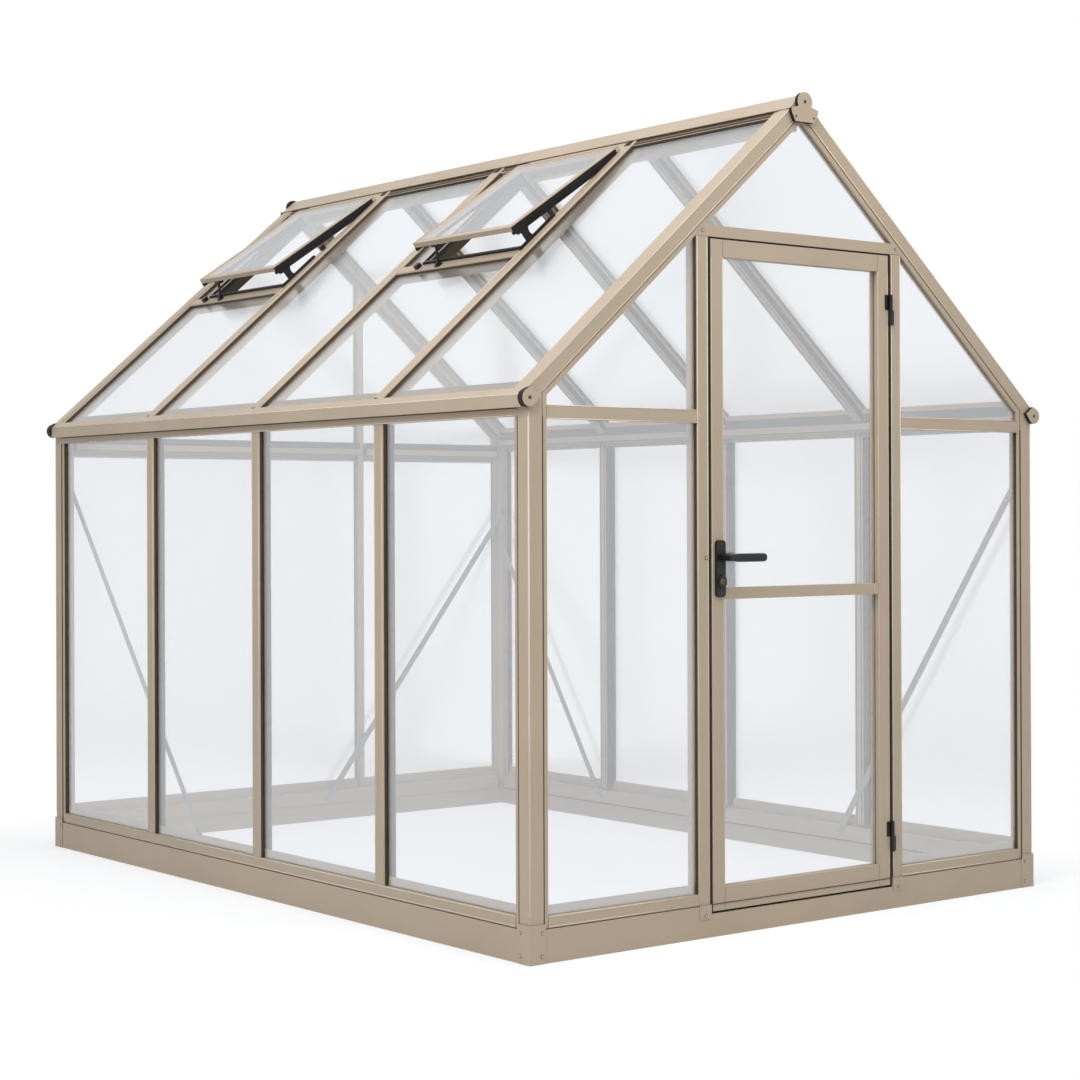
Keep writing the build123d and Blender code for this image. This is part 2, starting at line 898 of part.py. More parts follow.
with BuildPart() as ridge_end_plates:
    with BuildSketch(Plane.XZ.offset(end_cap_depth - front_y)) as plate:
        ridge_plate_outline()
    extrude(amount=end_plate_thickness)
    with BuildSketch(Plane.XZ.offset(end_plate_reach - front_y)) as sinks:
        with Locations((0, ridge_height - ridge_bolt_drop)):
            Circle(bolt_sink_radius)
        with Locations(
            (-ridge_screw_x, ridge_height - ridge_screw_drop),
            (ridge_screw_x, ridge_height - ridge_screw_drop),
        ):
            Circle(screw_sink_radius)
    extrude(amount=-sink_depth, mode=Mode.SUBTRACT)
    mirror(about=middle)
save(ridge_end_plates.part, "ridge_end_plates")

# Rafters, one over each side post, trimmed to the ridge and eave beams
rafter_end = eave_cap_slope + rafter_overrun


def slope_frame(side, slope, depth, y):
    """Origin, inward and down-slope directions at a place on one roof slope."""
    x, z = roof_point(slope, depth)
    return (
        (side * x, y, z),
        (-side * slope_sin, 0, -slope_cos),
        (side * slope_cos, 0, -slope_sin),
    )


for side, name in ((-1, "rafters_left"), (1, "rafters_right")):
    with BuildPart() as rafters:
        for place in bar_places:
            glazing_bar(
                section_plane(*slope_frame(side, rafter_start, 0, place)),
                rafter_end - rafter_start,
                bar_width,
            )
        cut_roof_bars(front_y, back_y)
    save(rafters.part, name)

# Vents on the left slope: a trimmer and a side bar round each opening
vent_rafters = [front_y + corner_width / 2 + bay * bay_pitch for bay in vent_bays]
vent_places = [rafter_y + bar_width / 2 for rafter_y in vent_rafters]
side_bar_offset = vent_width - 2 * vent_side_lap + side_bar_width / 2
trimmer_top = vent_trimmer_distance - rail_width / 2

with BuildPart() as vent_trimmers:
    for place in vent_places:
        far_edge = min(place + bay_pitch - bar_width, back_y - lip_end)
        origin, inward, down = slope_frame(-1, vent_trimmer_distance, 0, place)
        glazing_bar(section_plane(origin, inward, (0, 1, 0)), far_edge - place, rail_width)
save(vent_trimmers.part, "vent_trimmers")

with BuildPart() as vent_side_bars:
    for place in vent_places:
        origin, inward, down = slope_frame(-1, ridge_flange_end, 0, place + side_bar_offset)
        edge_bar(
            Plane(origin=origin, x_dir=(0, 1, 0), z_dir=down),
            trimmer_top - ridge_flange_end,
            side_bar_width,
            hollow=False,
        )
save(vent_side_bars.part, "vent_side_bars")


def slope_block(low, high, y_low, y_high):
    """A block on the left slope between two (slope, depth) corners and two places."""
    corners = [(low[0], low[1]), (high[0], low[1]), (high[0], high[1]), (low[0], high[1])]
    slab([(-x, z) for x, z in (roof_point(*corner) for corner in corners)], y_low, y_high)


with BuildPart() as vent_hinge_rails:
    for place in vent_places:
        slope_block(
            (hinge_rail_start, 0),
            (hinge_rail_end, ridge_flange_step),
            place,
            place + vent_width - 2 * vent_side_lap,
        )
save(vent_hinge_rails.part, "vent_hinge_rails")

# Black seals on top of each trimmer and side bar
with BuildPart() as vent_seals:
    for place in vent_places:
        seal_start = place + vent_width - vent_side_lap + vent_clearance
        slope_block(
            (trimmer_top, -vent_seal_height),
            (trimmer_top + vent_seal_width, 0),
            place,
            seal_start + vent_seal_width,
        )
        slope_block(
            (hinge_rail_end, -vent_seal_height),
            (trimmer_top - vent_clearance, 0),
            seal_start,
            seal_start + vent_seal_width,
        )
save(vent_seals.part, "vent_seals")

# Sashes, hinged under the capping and propped open
tilt = math.radians(vent_opening_angle)


def sash_frame(place):
    """Plane of an open sash: local x down the sash and y towards the front."""
    x, z = roof_point(vent_hinge_distance, 0)
    down = Vector(-slope_cos, 0, -slope_sin)
    out = Vector(-slope_sin, 0, slope_cos)
    tilted_down = down * math.cos(tilt) + out * math.sin(tilt)
    tilted_out = out * math.cos(tilt) - down * math.sin(tilt)
    return Plane(origin=(-x, place - vent_side_lap, z), x_dir=tilted_down, z_dir=tilted_out)


def lift(slope):
    """Height of the sash's underside over the roof slope."""
    return (slope - vent_hinge_distance) * math.tan(tilt)


def slope_plate(points, y_low, thickness):
    """A plate across the ridge on the left slope from (slope, height) points."""
    slab([(-x, z) for x, z in (roof_point(s, -h) for s, h in points)], y_low, y_low + thickness)


with BuildPart() as vent_sashes:
    for place in vent_places:
        plane = sash_frame(place)
        with BuildSketch(plane) as ring:
            block((0, -vent_width), (vent_length, 0))
            block(
                (vent_frame_width, vent_frame_width - vent_width),
                (vent_length - vent_frame_width, -vent_frame_width),
                mode=Mode.SUBTRACT,
            )
        extrude(ring.sketch, amount=vent_frame_depth)
        rebate = vent_frame_width - vent_rebate
        with BuildSketch(plane.offset(vent_frame_depth - glass_thickness)) as seat:
            block((rebate, rebate - vent_width), (vent_length - rebate, -rebate))
        extrude(seat.sketch, amount=glass_thickness, mode=Mode.SUBTRACT)
save(vent_sashes.part, "vent_sashes")

with BuildPart() as vent_glass:
    for place in vent_places:
        rebate = vent_frame_width - vent_rebate
        with BuildSketch(
            sash_frame(place).offset(vent_frame_depth - glass_thickness)
        ) as pane:
            block((rebate, rebate - vent_width), (vent_length - rebate, -rebate))
        extrude(pane.sketch, amount=glass_thickness)
save(vent_glass.part, "vent_glass")

# Black channels under the side rails of the sashes, clear of the roof
sash_end = vent_hinge_distance + vent_length * math.cos(tilt)

with BuildPart() as vent_side_channels:
    for place in vent_places:
        near = vent_hinge_distance + side_channel_start
        full = vent_hinge_distance + (side_channel_height + vent_clearance) / math.tan(tilt)
        end = sash_end - vent_frame_width
        profile = [
            (near, lift(near)),
            (end, lift(end)),
            (end, lift(end) - side_channel_height),
            (full, lift(full) - side_channel_height),
            (near, vent_clearance),
        ]
        for offset in (0, vent_width - side_channel_thickness):
            slope_plate(profile, place - vent_side_lap + offset, side_channel_thickness)
save(vent_side_channels.part, "vent_side_channels")

# Black links between the sashes and the rafters, at the lower front corners
with BuildPart() as vent_links:
    for place in vent_places:
        start = sash_end - vent_link_inset - vent_link_width
        end = sash_end - vent_link_inset
        corner = vent_link_corner
        slope_plate(
            [
                (start, lift(start)),
                (end, lift(end)),
                (end, corner - cap_depth),
                (end - corner, -cap_depth),
                (start + corner, -cap_depth),
                (start, corner - cap_depth),
            ],
            place,
            vent_link_thickness,
        )
save(vent_links.part, "vent_links")

# Stays that prop each sash off its trimmer
with BuildPart() as vent_stays:
    for place in vent_places:
        head = sash_end - vent_frame_width / 2
        half = vent_stay_width / 2
        foot = trimmer_top + vent_stay_foot
        slope_plate(
            [
                (head - half, lift(head - half)),
                (head + half, lift(head + half)),
                (foot + half, 0),
                (foot - half, 0),
            ],
            place + vent_width - vent_side_lap - vent_stay_inset,
            vent_stay_thickness,
        )
save(vent_stays.part, "vent_stays")


# Braces, flat bars on the inner faces of posts and sills
def brace(plane, foot, head):
    """A flat bar with round ends between two points of the plane."""
    with BuildSketch(plane) as bar:
        middle_point = (Vector(*head) + Vector(*foot)) * 0.5
        direction = Vector(*head) - Vector(*foot)
        angle = math.degrees(math.atan2(direction.Y, direction.X))
        with Locations(Location((middle_point.X, middle_point.Y, 0), (0, 0, angle))):
            SlotCenterToCenter(direction.length, brace_width)
    extrude(bar.sketch, amount=brace_thickness)


brace_foot_z = (plinth_tube_height + sill_top - channel_depth) / 2
wall_post = back_y - corner_width + brace_width / 2

with BuildPart() as wall_braces:
    left_inner = Plane(origin=(-inner_x, 0, 0), x_dir=(0, 1, 0), z_dir=(1, 0, 0))
    foot = bar_places[-1] + left_brace_foot * bay_pitch
    brace(left_inner, (foot, brace_foot_z), (wall_post, eave_height - left_brace_drop))
    right_inner = Plane(origin=(inner_x, 0, 0), x_dir=(0, -1, 0), z_dir=(-1, 0, 0))
    foot = bar_places[-1] + right_back_brace_foot * bay_pitch
    brace(right_inner, (-foot, brace_foot_z), (-wall_post, eave_height - right_back_brace_drop))
    front_post = front_y + corner_width - brace_width / 2
    foot = bar_places[0] + right_front_brace_foot * bay_pitch
    brace(right_inner, (-foot, brace_foot_z), (-front_post, eave_height - right_front_brace_drop))
    back_inner = Plane(origin=(0, back_y - frame_depth, 0), x_dir=(1, 0, 0), z_dir=(0, -1, 0))
    head = (inner_x + brace_width / 2, eave_height - back_brace_drop)
    brace(back_inner, (back_post_x - back_brace_foot, brace_foot_z), head)
save(wall_braces.part, "wall_braces")

# Wall glass, one pane in each bay
pane_edges = [front_y + corner_width + glass_bite]
for place in bar_places:
    pane_edges.append(place - bar_width / 2 + glass_bite)
    pane_edges.append(place + bar_width / 2 - glass_bite)
pane_edges.append(back_y - corner_width - glass_bite)
bays = list(zip(pane_edges[0::2], pane_edges[1::2]))
pane_foot = sill_top - glass_bite

for side, name in ((-1, "glass_left_wall"), (1, "glass_right_wall")):
    with BuildPart() as wall_glass:
        outer = side * (frame_x - cap_depth)
        inner = side * (frame_x - glass_back)
        with BuildSketch(Plane.XY.offset(pane_foot)) as panes:
            for low, high in bays:
                block((min(outer, inner), low), (max(outer, inner), high))
        extrude(amount=eave_bottom + glass_bite - pane_foot)
    save(wall_glass.part, name)

# Gable glass
corner_edge = frame_x - corner_width - glass_bite
jamb_edge = jamb_outer - glass_bite

with BuildPart() as glass_front:
    pane_y = front_y + cap_depth
    for low, high in ((-corner_edge, -jamb_edge), (jamb_edge, corner_edge)):
        gable_pane(low, high, pane_foot, rail_bottom + glass_bite, pane_y)
        gable_pane(low, high, rail_top - glass_bite, header_bottom, pane_y)
    gable_pane(-jamb_outer, jamb_outer, header_top - glass_bite, ridge_height, pane_y)
save(glass_front.part, "glass_front")

with BuildPart() as glass_back_wall:
    pane_y = back_y - glass_back
    near = back_post_x - back_post_width / 2 + glass_bite
    far = back_post_x + back_post_width / 2 - glass_bite
    for low, high in ((-corner_edge, near), (far, corner_edge)):
        gable_pane(low, high, pane_foot, back_rail_bottom + glass_bite, pane_y)
        gable_pane(low, high, back_rail_top - glass_bite, ridge_height, pane_y)
save(glass_back_wall.part, "glass_back_wall")

# Roof glass, in front of the vents cut short at the trimmer
pane_head = ridge_flange_end - glass_bite
pane_end = eave_cap_slope + glass_bite


def roof_pane(side, y_low, y_high, slope_low, slope_high):
    """A pane of one roof slope between two places along and down the slope."""
    x, z = roof_point(slope_low, cap_depth)
    down = (side * slope_cos, 0, -slope_sin)
    inward = (-side * slope_sin, 0, -slope_cos)
    plane = Plane(origin=(side * x, y_low, z), x_dir=down, z_dir=inward)
    across = 1 if plane.y_dir.Y > 0 else -1
    with BuildSketch(plane) as pane:
        block((0, 0), (slope_high - slope_low, across * (y_high - y_low)))
    extrude(pane.sketch, amount=glass_thickness)


with BuildPart() as glass_roof_right:
    for low, high in bays:
        roof_pane(1, low, high, pane_head, pane_end)
save(glass_roof_right.part, "glass_roof_right")

with BuildPart() as glass_roof_left:
    for bay, (low, high) in enumerate(bays):
        if bay in vent_bays:
            place = vent_places[vent_bays.index(bay)]
            side_edge = place + side_bar_offset + side_bar_width / 2 - glass_bite
            trimmer_low = vent_trimmer_distance + rail_width / 2 - glass_bite
            roof_pane(-1, side_edge, high, pane_head, trimmer_top + glass_bite)
            roof_pane(-1, low, high, trimmer_low, pane_end)
        else:
            roof_pane(-1, low, high, pane_head, pane_end)
save(glass_roof_left.part, "glass_roof_left")


# Door: two stiles, three rails and two panes
door_glass_back = door_glass_inset + glass_thickness


def door_section(width, channels):
    """Door tube section, local x across it and y into the house."""
    half = width / 2
    block((-half, 0), (half, door_depth))
    hollow_low = -half + tube_wall
    hollow_high = half - tube_wall
    for side in channels:
        low, high = sorted((side * half, side * (half - channel_depth)))
        block((low, door_glass_inset), (high, door_glass_back), mode=Mode.SUBTRACT)
        if side < 0:
            hollow_low += channel_depth
        else:
            hollow_high -= channel_depth
    block((hollow_low, tube_wall), (hollow_high, door_depth - tube_wall), mode=Mode.SUBTRACT)


with BuildPart() as door_hinge_stile:
    with BuildSketch(
        Plane(origin=(door_half - stile_width / 2, door_front, door_bottom), x_dir=(1, 0, 0))
    ) as section:
        door_section(stile_width, (-1,))
    extrude(amount=door_top - door_bottom)
save(door_hinge_stile.part, "door_hinge_stile")

with BuildPart() as door_lock_stile:
    with BuildSketch(
        Plane(origin=(stile_width / 2 - door_half, door_front, door_bottom), x_dir=(1, 0, 0))
    ) as section:
        door_section(stile_width, (1,))
    extrude(amount=door_top - door_bottom)
    with BuildSketch(Plane.XZ.offset(-door_front)) as bores:
        with Locations((handle_x, lever_height)):
            Circle(spindle_hole_radius)
        with Locations((handle_x, lock_height)):
            Circle(lock_radius)
    extrude(amount=-door_depth, mode=Mode.SUBTRACT)
save(door_lock_stile.part, "door_lock_stile")

rail_span = door_width - 2 * stile_width

with BuildPart() as door_rails:
    for bottom, height, channels in (
        (door_bottom, door_bottom_rail, (1,)),
        (door_mid_bottom, door_mid_rail, (-1, 1)),
        (door_top - door_top_rail, door_top_rail, (-1,)),
    ):
        with BuildSketch(
            Plane(
                origin=(rail_span / 2, door_front, bottom + height / 2),
                x_dir=(0, 0, 1),
                z_dir=(-1, 0, 0),
            )
        ) as section:
            door_section(height, channels)
        extrude(amount=rail_span)
save(door_rails.part, "door_rails")

with BuildPart() as door_glass:
    half_pane = rail_span / 2 + glass_bite
    with BuildSketch(Plane.XZ.offset(-(door_front + door_glass_inset))) as panes:
        for low, high in (
            (door_bottom + door_bottom_rail, door_mid_bottom),
            (door_mid_bottom + door_mid_rail, door_top - door_top_rail),
        ):
            block((-half_pane, low - glass_bite), (half_pane, high + glass_bite))
    extrude(amount=-glass_thickness)
save(door_glass.part, "door_glass")


# Lift-off hinges: a pin and lower knuckle on the jamb, an upper knuckle on the door
def knuckle(z_low, height, side, bore):
    """A barrel and its leaf on the jamb (+1) or on the door (-1)."""
    with BuildSketch(Plane.XY.offset(z_low)) as barrel:
        with Locations((hinge_x, hinge_y)):
            Circle(hinge_barrel_radius)
            if bore:
                Circle(hinge_pin_radius + pin_clearance, mode=Mode.SUBTRACT)
    extrude(barrel.sketch, amount=height)
    leaf_edge = hinge_x + side * (hinge_barrel_radius - hinge_leaf_thickness)
    leaf_end = hinge_x + side * (door_gap_side / 2 + hinge_leaf_width)
    low, high = sorted((leaf_edge, leaf_end))
    with BuildSketch(Plane.XY.offset(z_low)) as leaf:
        block((low, front_y - hinge_leaf_thickness), (high, front_y))
    extrude(leaf.sketch, amount=height)


with BuildPart() as hinge_fixed_leaves:
    for bottom in (hinge_low, hinge_high):
        knuckle(bottom, hinge_height / 2, 1, bore=False)
        with BuildSketch(Plane.XY.offset(bottom + hinge_height / 2)) as pin:
            with Locations((hinge_x, hinge_y)):
                Circle(hinge_pin_radius)
        extrude(pin.sketch, amount=hinge_height / 2)
save(hinge_fixed_leaves.part, "hinge_fixed_leaves")

with BuildPart() as hinge_moving_leaves:
    for bottom in (hinge_low, hinge_high):
        knuckle(bottom + hinge_height / 2, hinge_height / 2, -1, bore=True)
save(hinge_moving_leaves.part, "hinge_moving_leaves")


# Handle: a long plate on each face, a key cylinder and one lever set
plate_front = door_front - handle_plate_thickness
plate_rear = door_back + handle_plate_thickness

with BuildPart() as door_handle_plates:
    for start in (plate_front, door_back):
        with BuildSketch(Plane.XZ.offset(-start)) as plate:
            with Locations((handle_x, handle_plate_bottom + handle_plate_height / 2)):
                RectangleRounded(
                    handle_plate_width, handle_plate_height, handle_plate_corner
                )
            with Locations((handle_x, lever_height)):
                Circle(lever_neck_radius + pin_clearance, mode=Mode.SUBTRACT)
            with Locations((handle_x, lock_height)):
                Circle(lock_radius, mode=Mode.SUBTRACT)
        extrude(plate.sketch, amount=-handle_plate_thickness)
save(door_handle_plates.part, "door_handle_plates")

with BuildPart() as lock_cylinder:
    with BuildSketch(Plane.XZ.offset(-(plate_front - lock_projection / 2))) as barrel:
        with Locations((handle_x, lock_height)):
            Circle(lock_radius)
    extrude(amount=-(door_depth + 2 * handle_plate_thickness + lock_projection))
save(lock_cylinder.part, "lock_cylinder")

with BuildPart() as door_lever:
    with BuildSketch(Plane.XZ.offset(-(door_front - lever_reach))) as spindle:
        with Locations((handle_x, lever_height)):
            Circle(spindle_radius)
    extrude(amount=-(door_depth + 2 * lever_reach))
    for start, depth in (
        (door_front - lever_reach, lever_reach),
        (door_back, lever_reach),
    ):
        with BuildSketch(Plane.XZ.offset(-start)) as neck:
            with Locations((handle_x, lever_height)):
                Circle(lever_neck_radius)
        extrude(neck.sketch, amount=-depth)
    for start in (door_front - lever_reach, door_back + lever_reach - lever_thickness):
        with BuildSketch(Plane.XZ.offset(-start)) as grip:
            with Locations((handle_x + lever_length / 2 - lever_width / 2, lever_height)):
                SlotOverall(lever_length, lever_width)
        extrude(grip.sketch, amount=-lever_thickness)
    for end in (0, -1):
        chamfer(faces().sort_by(Axis.Y)[end].edges(), lever_bevel)
save(door_lever.part, "door_lever")
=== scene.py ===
import json
import math

import bmesh
import bpy
from mathutils import Matrix, Vector


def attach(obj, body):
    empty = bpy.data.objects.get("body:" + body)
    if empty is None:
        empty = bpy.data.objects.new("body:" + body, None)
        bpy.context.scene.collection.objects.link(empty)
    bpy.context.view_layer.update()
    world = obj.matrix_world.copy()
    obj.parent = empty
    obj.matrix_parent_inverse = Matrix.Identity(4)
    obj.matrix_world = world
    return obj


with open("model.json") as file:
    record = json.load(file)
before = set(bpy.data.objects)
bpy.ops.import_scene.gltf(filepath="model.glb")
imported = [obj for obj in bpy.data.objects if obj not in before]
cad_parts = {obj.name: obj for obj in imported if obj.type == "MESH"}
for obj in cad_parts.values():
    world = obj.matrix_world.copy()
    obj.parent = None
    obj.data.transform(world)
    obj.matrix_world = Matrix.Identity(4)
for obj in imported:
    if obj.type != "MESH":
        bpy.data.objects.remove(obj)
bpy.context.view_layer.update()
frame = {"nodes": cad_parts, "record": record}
nodes = frame["nodes"]
scene = bpy.context.scene

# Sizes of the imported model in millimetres, as in its source
HALF_WIDTH = 965  # middle to the plinth's outer faces
FRAME_X = 961  # middle to the side walls' outer faces
FRONT_Y, BACK_Y = -1306, 1346  # outer faces of the gables
FRONT_FACE, BACK_FACE = -1310, 1350  # outer faces of the plinth's ends
END_PLATE = 14
EAVE = 1447
PITCH = math.radians(41)
COS, SIN, TAN = math.cos(PITCH), math.sin(PITCH), math.tan(PITCH)
RIDGE = EAVE + HALF_WIDTH * TAN
BARS = (-632, 20, 672)  # middles of the side posts and rafters
BAR = 22  # half of their width
LEG = 18  # half of the width of their inner legs
LEG_FACE = (43.8, 44.5)  # depth of a line on the legs' inner faces
LEG_SIDE = (20, 42)  # depth of the legs' sides
PLINTH_JOINT = 86  # top of the plinth
SILL = 118
EAVE_BOTTOM = 1379
CORNER = 60
JAMB_IN = 350.5
JAMB_OUT = 392.5
POST_X = 371.5  # middles of the door's jambs
DOOR_LOW, DOOR_HIGH = 68, 1867.1
HEADER_LOW = 1872.1
RAIL_LOW, RAIL_HIGH = 1372, 1408
BACK_POST, BACK_HALF = 272, 15
BACK_RAIL_LOW, BACK_RAIL_HIGH = 1334, 1405
GUTTER_X = 980  # middle to the gutters' outer faces
RAKE_END = 54  # depth at which the gaskets end under the rakes
FLANGE_END = 85  # slope distance at which the ridge beam's flange ends
EAVE_SLOPE = FRAME_X / COS
TRIMMER_TOP, TRIMMER_LOW = 587, 623
VENT_STARTS = (-610, 694)  # near edges of the openings
SIDE_BAR, SIDE_BAR_END = 470, 500  # faces of a vent's side bar, from the vent's start
HANDLE_X = -315
HANDLE_FRONT, HANDLE_BACK = FRONT_Y - 8, FRONT_Y + 40  # faces of the handle plates
LEVER_Z = 1013
LOCK_Z = 949
BEVEL_ANGLE = math.radians(28)


def mm(x, y, z):
    """A point in millimetres as metres."""
    return Vector((x, y, z)) * 0.001


def roof_z(x, depth=0):
    """Height of the roof at x, or of a level at some depth under it."""
    return RIDGE - abs(x) * TAN - depth / COS


def left_roof(s, y, d):
    """A place by distance down the slope, place along the house and depth into the roof."""
    return mm(-(s * COS - d * SIN), y, RIDGE - s * SIN - d * COS)


def right_roof(s, y, d):
    return mm(s * COS - d * SIN, y, RIDGE - s * SIN - d * COS)


def left_wall(z, y, d):
    """A place by height, place along the wall and depth into it."""
    return mm(d - FRAME_X, y, z)


def right_wall(z, y, d):
    return mm(FRAME_X - d, y, z)


def front_wall(z, x, d):
    return mm(x, FRONT_Y + d, z)


def back_wall(z, x, d):
    return mm(x, BACK_Y - d, z)


def crosswise(place):
    """The same place with its first two coordinates swapped, for runs across the bars."""
    return lambda along, across, depth: place(across, along, depth)


# Camera at the photograph's place, with the small shift that its framing needs
camera_data = bpy.data.cameras.new("camera")
camera = bpy.data.objects.new("camera", camera_data)
scene.collection.objects.link(camera)
scene.camera = camera
camera_data.sensor_width = 36
camera_data.lens = 74.937
camera_data.shift_y = -0.0255
camera_data.clip_end = 100
camera.matrix_world = (
    Matrix.Translation((-4.40477, -5.75695, 1.12759))
    @ Matrix.Rotation(-0.6636, 4, "Z")
    @ Matrix.Rotation(math.pi / 2 + 0.0014, 4, "X")
    @ Matrix.Rotation(-0.0037, 4, "Z")
)
scene.view_settings.view_transform = "Standard"


# Procedural materials
def new_material(name):
    """A material with its shader, its output and an object coordinate node."""
    material = bpy.data.materials.new(name)
    material.use_nodes = True
    tree = material.node_tree
    shader = tree.nodes["Principled BSDF"]
    where = tree.nodes.new("ShaderNodeTexCoord")
    return material, tree, shader, where


def noise(tree, where, scale, detail=2.0, rough=0.5):
    """A noise pattern, with its scale per metre."""
    node = tree.nodes.new("ShaderNodeTexNoise")
    node.inputs["Scale"].default_value = scale
    node.inputs["Detail"].default_value = detail
    node.inputs["Roughness"].default_value = rough
    tree.links.new(where.outputs["Object"], node.inputs["Vector"])
    return node.outputs["Fac"]


def ramp(tree, source, stops):
    """A colour that goes from the first stop to the second with the source."""
    node = tree.nodes.new("ShaderNodeValToRGB")
    for element, (position, color) in zip(node.color_ramp.elements, stops):
        element.position, element.color = position, (*color, 1)
    tree.links.new(source, node.inputs["Fac"])
    return node.outputs["Color"]


def spread(tree, source, low, high, start=0.3, end=0.7):
    """A value from low to high as the source goes from start to end."""
    node = tree.nodes.new("ShaderNodeMapRange")
    node.inputs["From Min"].default_value = start
    node.inputs["From Max"].default_value = end
    node.inputs["To Min"].default_value = low
    node.inputs["To Max"].default_value = high
    tree.links.new(source, node.inputs["Value"])
    return node.outputs["Result"]


def mix_colors(tree, factor, base, fleck):
    """The base colour, with the plain colour fleck where the factor is one."""
    node = tree.nodes.new("ShaderNodeMix")
    node.data_type = "RGBA"
    tree.links.new(factor, node.inputs["Factor"])
    tree.links.new(base, node.inputs["A"])
    node.inputs["B"].default_value = (*fleck, 1)
    return node.outputs["Result"]


def calculate(tree, operation, *values):
    """A math node's result from sockets or plain numbers."""
    node = tree.nodes.new("ShaderNodeMath")
    node.operation = operation
    for socket, value in zip(node.inputs, values):
        if isinstance(value, float):
            socket.default_value = value
        else:
            tree.links.new(value, socket)
    return node.outputs["Value"]


def bump(tree, shader, source, distance):
    """A fine relief, with its depth in metres."""
    node = tree.nodes.new("ShaderNodeBump")
    node.inputs["Distance"].default_value = distance
    node.inputs["Strength"].default_value = 1.0
    tree.links.new(source, node.inputs["Height"])
    tree.links.new(node.outputs["Normal"], shader.inputs["Normal"])


def srgb(r, g, b):
    """Linear colour from 0 to 255 screen values."""
    values = []
    for v in (r, g, b):
        v /= 255
        values.append(v / 12.92 if v <= 0.04045 else ((v + 0.055) / 1.055) ** 2.4)
    return tuple(values)


def speckled(name, dark, light, fleck, roughness, bump_scale, bump_depth, metallic=0.0,
             specular=0.5):
    """A coated or moulded surface: soft cloudy colour, fine flecks and an even texture."""
    material, tree, shader, where = new_material(name)
    clouds = noise(tree, where, 2.3, 4.0, 0.55)
    base = ramp(tree, clouds, [(0.32, dark), (0.68, light)])
    grains = noise(tree, where, 900.0, 2.0, 0.6)
    flecks = spread(tree, grains, 0.0, 1.0, 0.58, 0.74)
    color = mix_colors(tree, flecks, base, fleck)
    tree.links.new(color, shader.inputs["Base Color"])
    patches = noise(tree, where, 14.0, 3.0, 0.5)
    tree.links.new(spread(tree, patches, *roughness), shader.inputs["Roughness"])
    shader.inputs["Metallic"].default_value = metallic
    shader.inputs["Specular IOR Level"].default_value = specular
    bump(tree, shader, noise(tree, where, bump_scale, 3.0, 0.5), bump_depth)
    return material


paint = speckled(
    "paint", srgb(168, 152, 131), srgb(175, 159, 138), srgb(187, 172, 152),
    (0.36, 0.48), 700.0, 0.00006,
)
# A lighter, glossier paint for the painted highlights along edges
painted_highlight = speckled(
    "painted_highlight", srgb(206, 193, 175), srgb(216, 204, 187), srgb(225, 215, 200),
    (0.2, 0.3), 700.0, 0.00004,
)
# Painted shade for the bands on the inner faces of the eave beams and back rails
shade_mat = speckled(
    "shade", srgb(100, 93, 83), srgb(112, 104, 93), srgb(126, 118, 107),
    (0.45, 0.6), 600.0, 0.00006, specular=0.3,
)
# Black rubber, also used for the painted shade at the rafters' ends
rubber_and_shade = speckled(
    "rubber_and_shade", srgb(24, 23, 23), srgb(31, 30, 30), srgb(44, 43, 43),
    (0.55, 0.7), 500.0, 0.0001, specular=0.3,
)
# Dark brown for gaskets, washers and seams; also painted shade on the strips in grooves, the ridge
# recess and the legs
gasket_and_shade_mat = speckled(
    "gasket", srgb(60, 50, 39), srgb(70, 59, 47), srgb(82, 70, 57),
    (0.5, 0.65), 500.0, 0.0001, specular=0.25,
)
black_coat = speckled(
    "black_coat", srgb(16, 16, 17), srgb(21, 21, 22), srgb(34, 34, 35),
    (0.34, 0.46), 800.0, 0.00006, specular=0.4,
)
brace_mat = speckled(
    "brace_metal", srgb(142, 139, 134), srgb(156, 153, 148), srgb(172, 169, 165),
    (0.36, 0.5), 400.0, 0.00005, metallic=0.35,
)
brass = speckled(
    "brass", srgb(104, 89, 64), srgb(124, 108, 80), srgb(150, 134, 104),
    (0.25, 0.4), 900.0, 0.00004, metallic=0.9,
)
zinc = speckled(
    "zinc", srgb(176, 170, 160), srgb(202, 196, 187), srgb(222, 217, 209),
    (0.22, 0.36), 600.0, 0.00004, metallic=0.85,
)
steel = speckled(
    "steel", srgb(72, 68, 62), srgb(92, 87, 80), srgb(120, 115, 107),
    (0.25, 0.4), 600.0, 0.00004, metallic=0.8,
)


def glass_material():
    """Clear 4 mm glass: a pale cool veil that grows where the pane is seen edge on."""
    material, tree, shader, where = new_material("clear_glass")
    clouds = noise(tree, where, 1.1, 3.0, 0.5)
    tint = ramp(tree, clouds, [(0.3, srgb(243, 247, 253)), (0.7, srgb(247, 251, 255))])
    tree.links.new(tint, shader.inputs["Base Color"])
    tree.links.new(spread(tree, clouds, 0.16, 0.24), shader.inputs["Roughness"])
    facing = tree.nodes.new("ShaderNodeLayerWeight")
    facing.inputs["Blend"].default_value = 0.5
    edge = calculate(tree, "POWER", facing.outputs["Facing"], 4.0)
    veil = spread(tree, edge, 0.24, 0.55, 0.0, 1.0)
    path = tree.nodes.new("ShaderNodeLightPath")
    alpha = spread(tree, path.outputs["Is Shadow Ray"], 1.0, 0.15, 0.0, 1.0)
    tree.links.new(calculate(tree, "MULTIPLY", veil, alpha), shader.inputs["Alpha"])
    shader.inputs["Metallic"].default_value = 1.0
    shader.inputs["IOR"].default_value = 1.45
    return material


glass_mat = glass_material()

LOOKS = {
    "frame_paint": paint,
    "brace_metal": brace_mat,
    "glass": glass_mat,
    "black_plastic": rubber_and_shade,
    "black_metal": black_coat,
    "lock_metal": brass,
}
slots = {s["node"]: s["material_slot"] for s in frame["record"]["subparts"]}


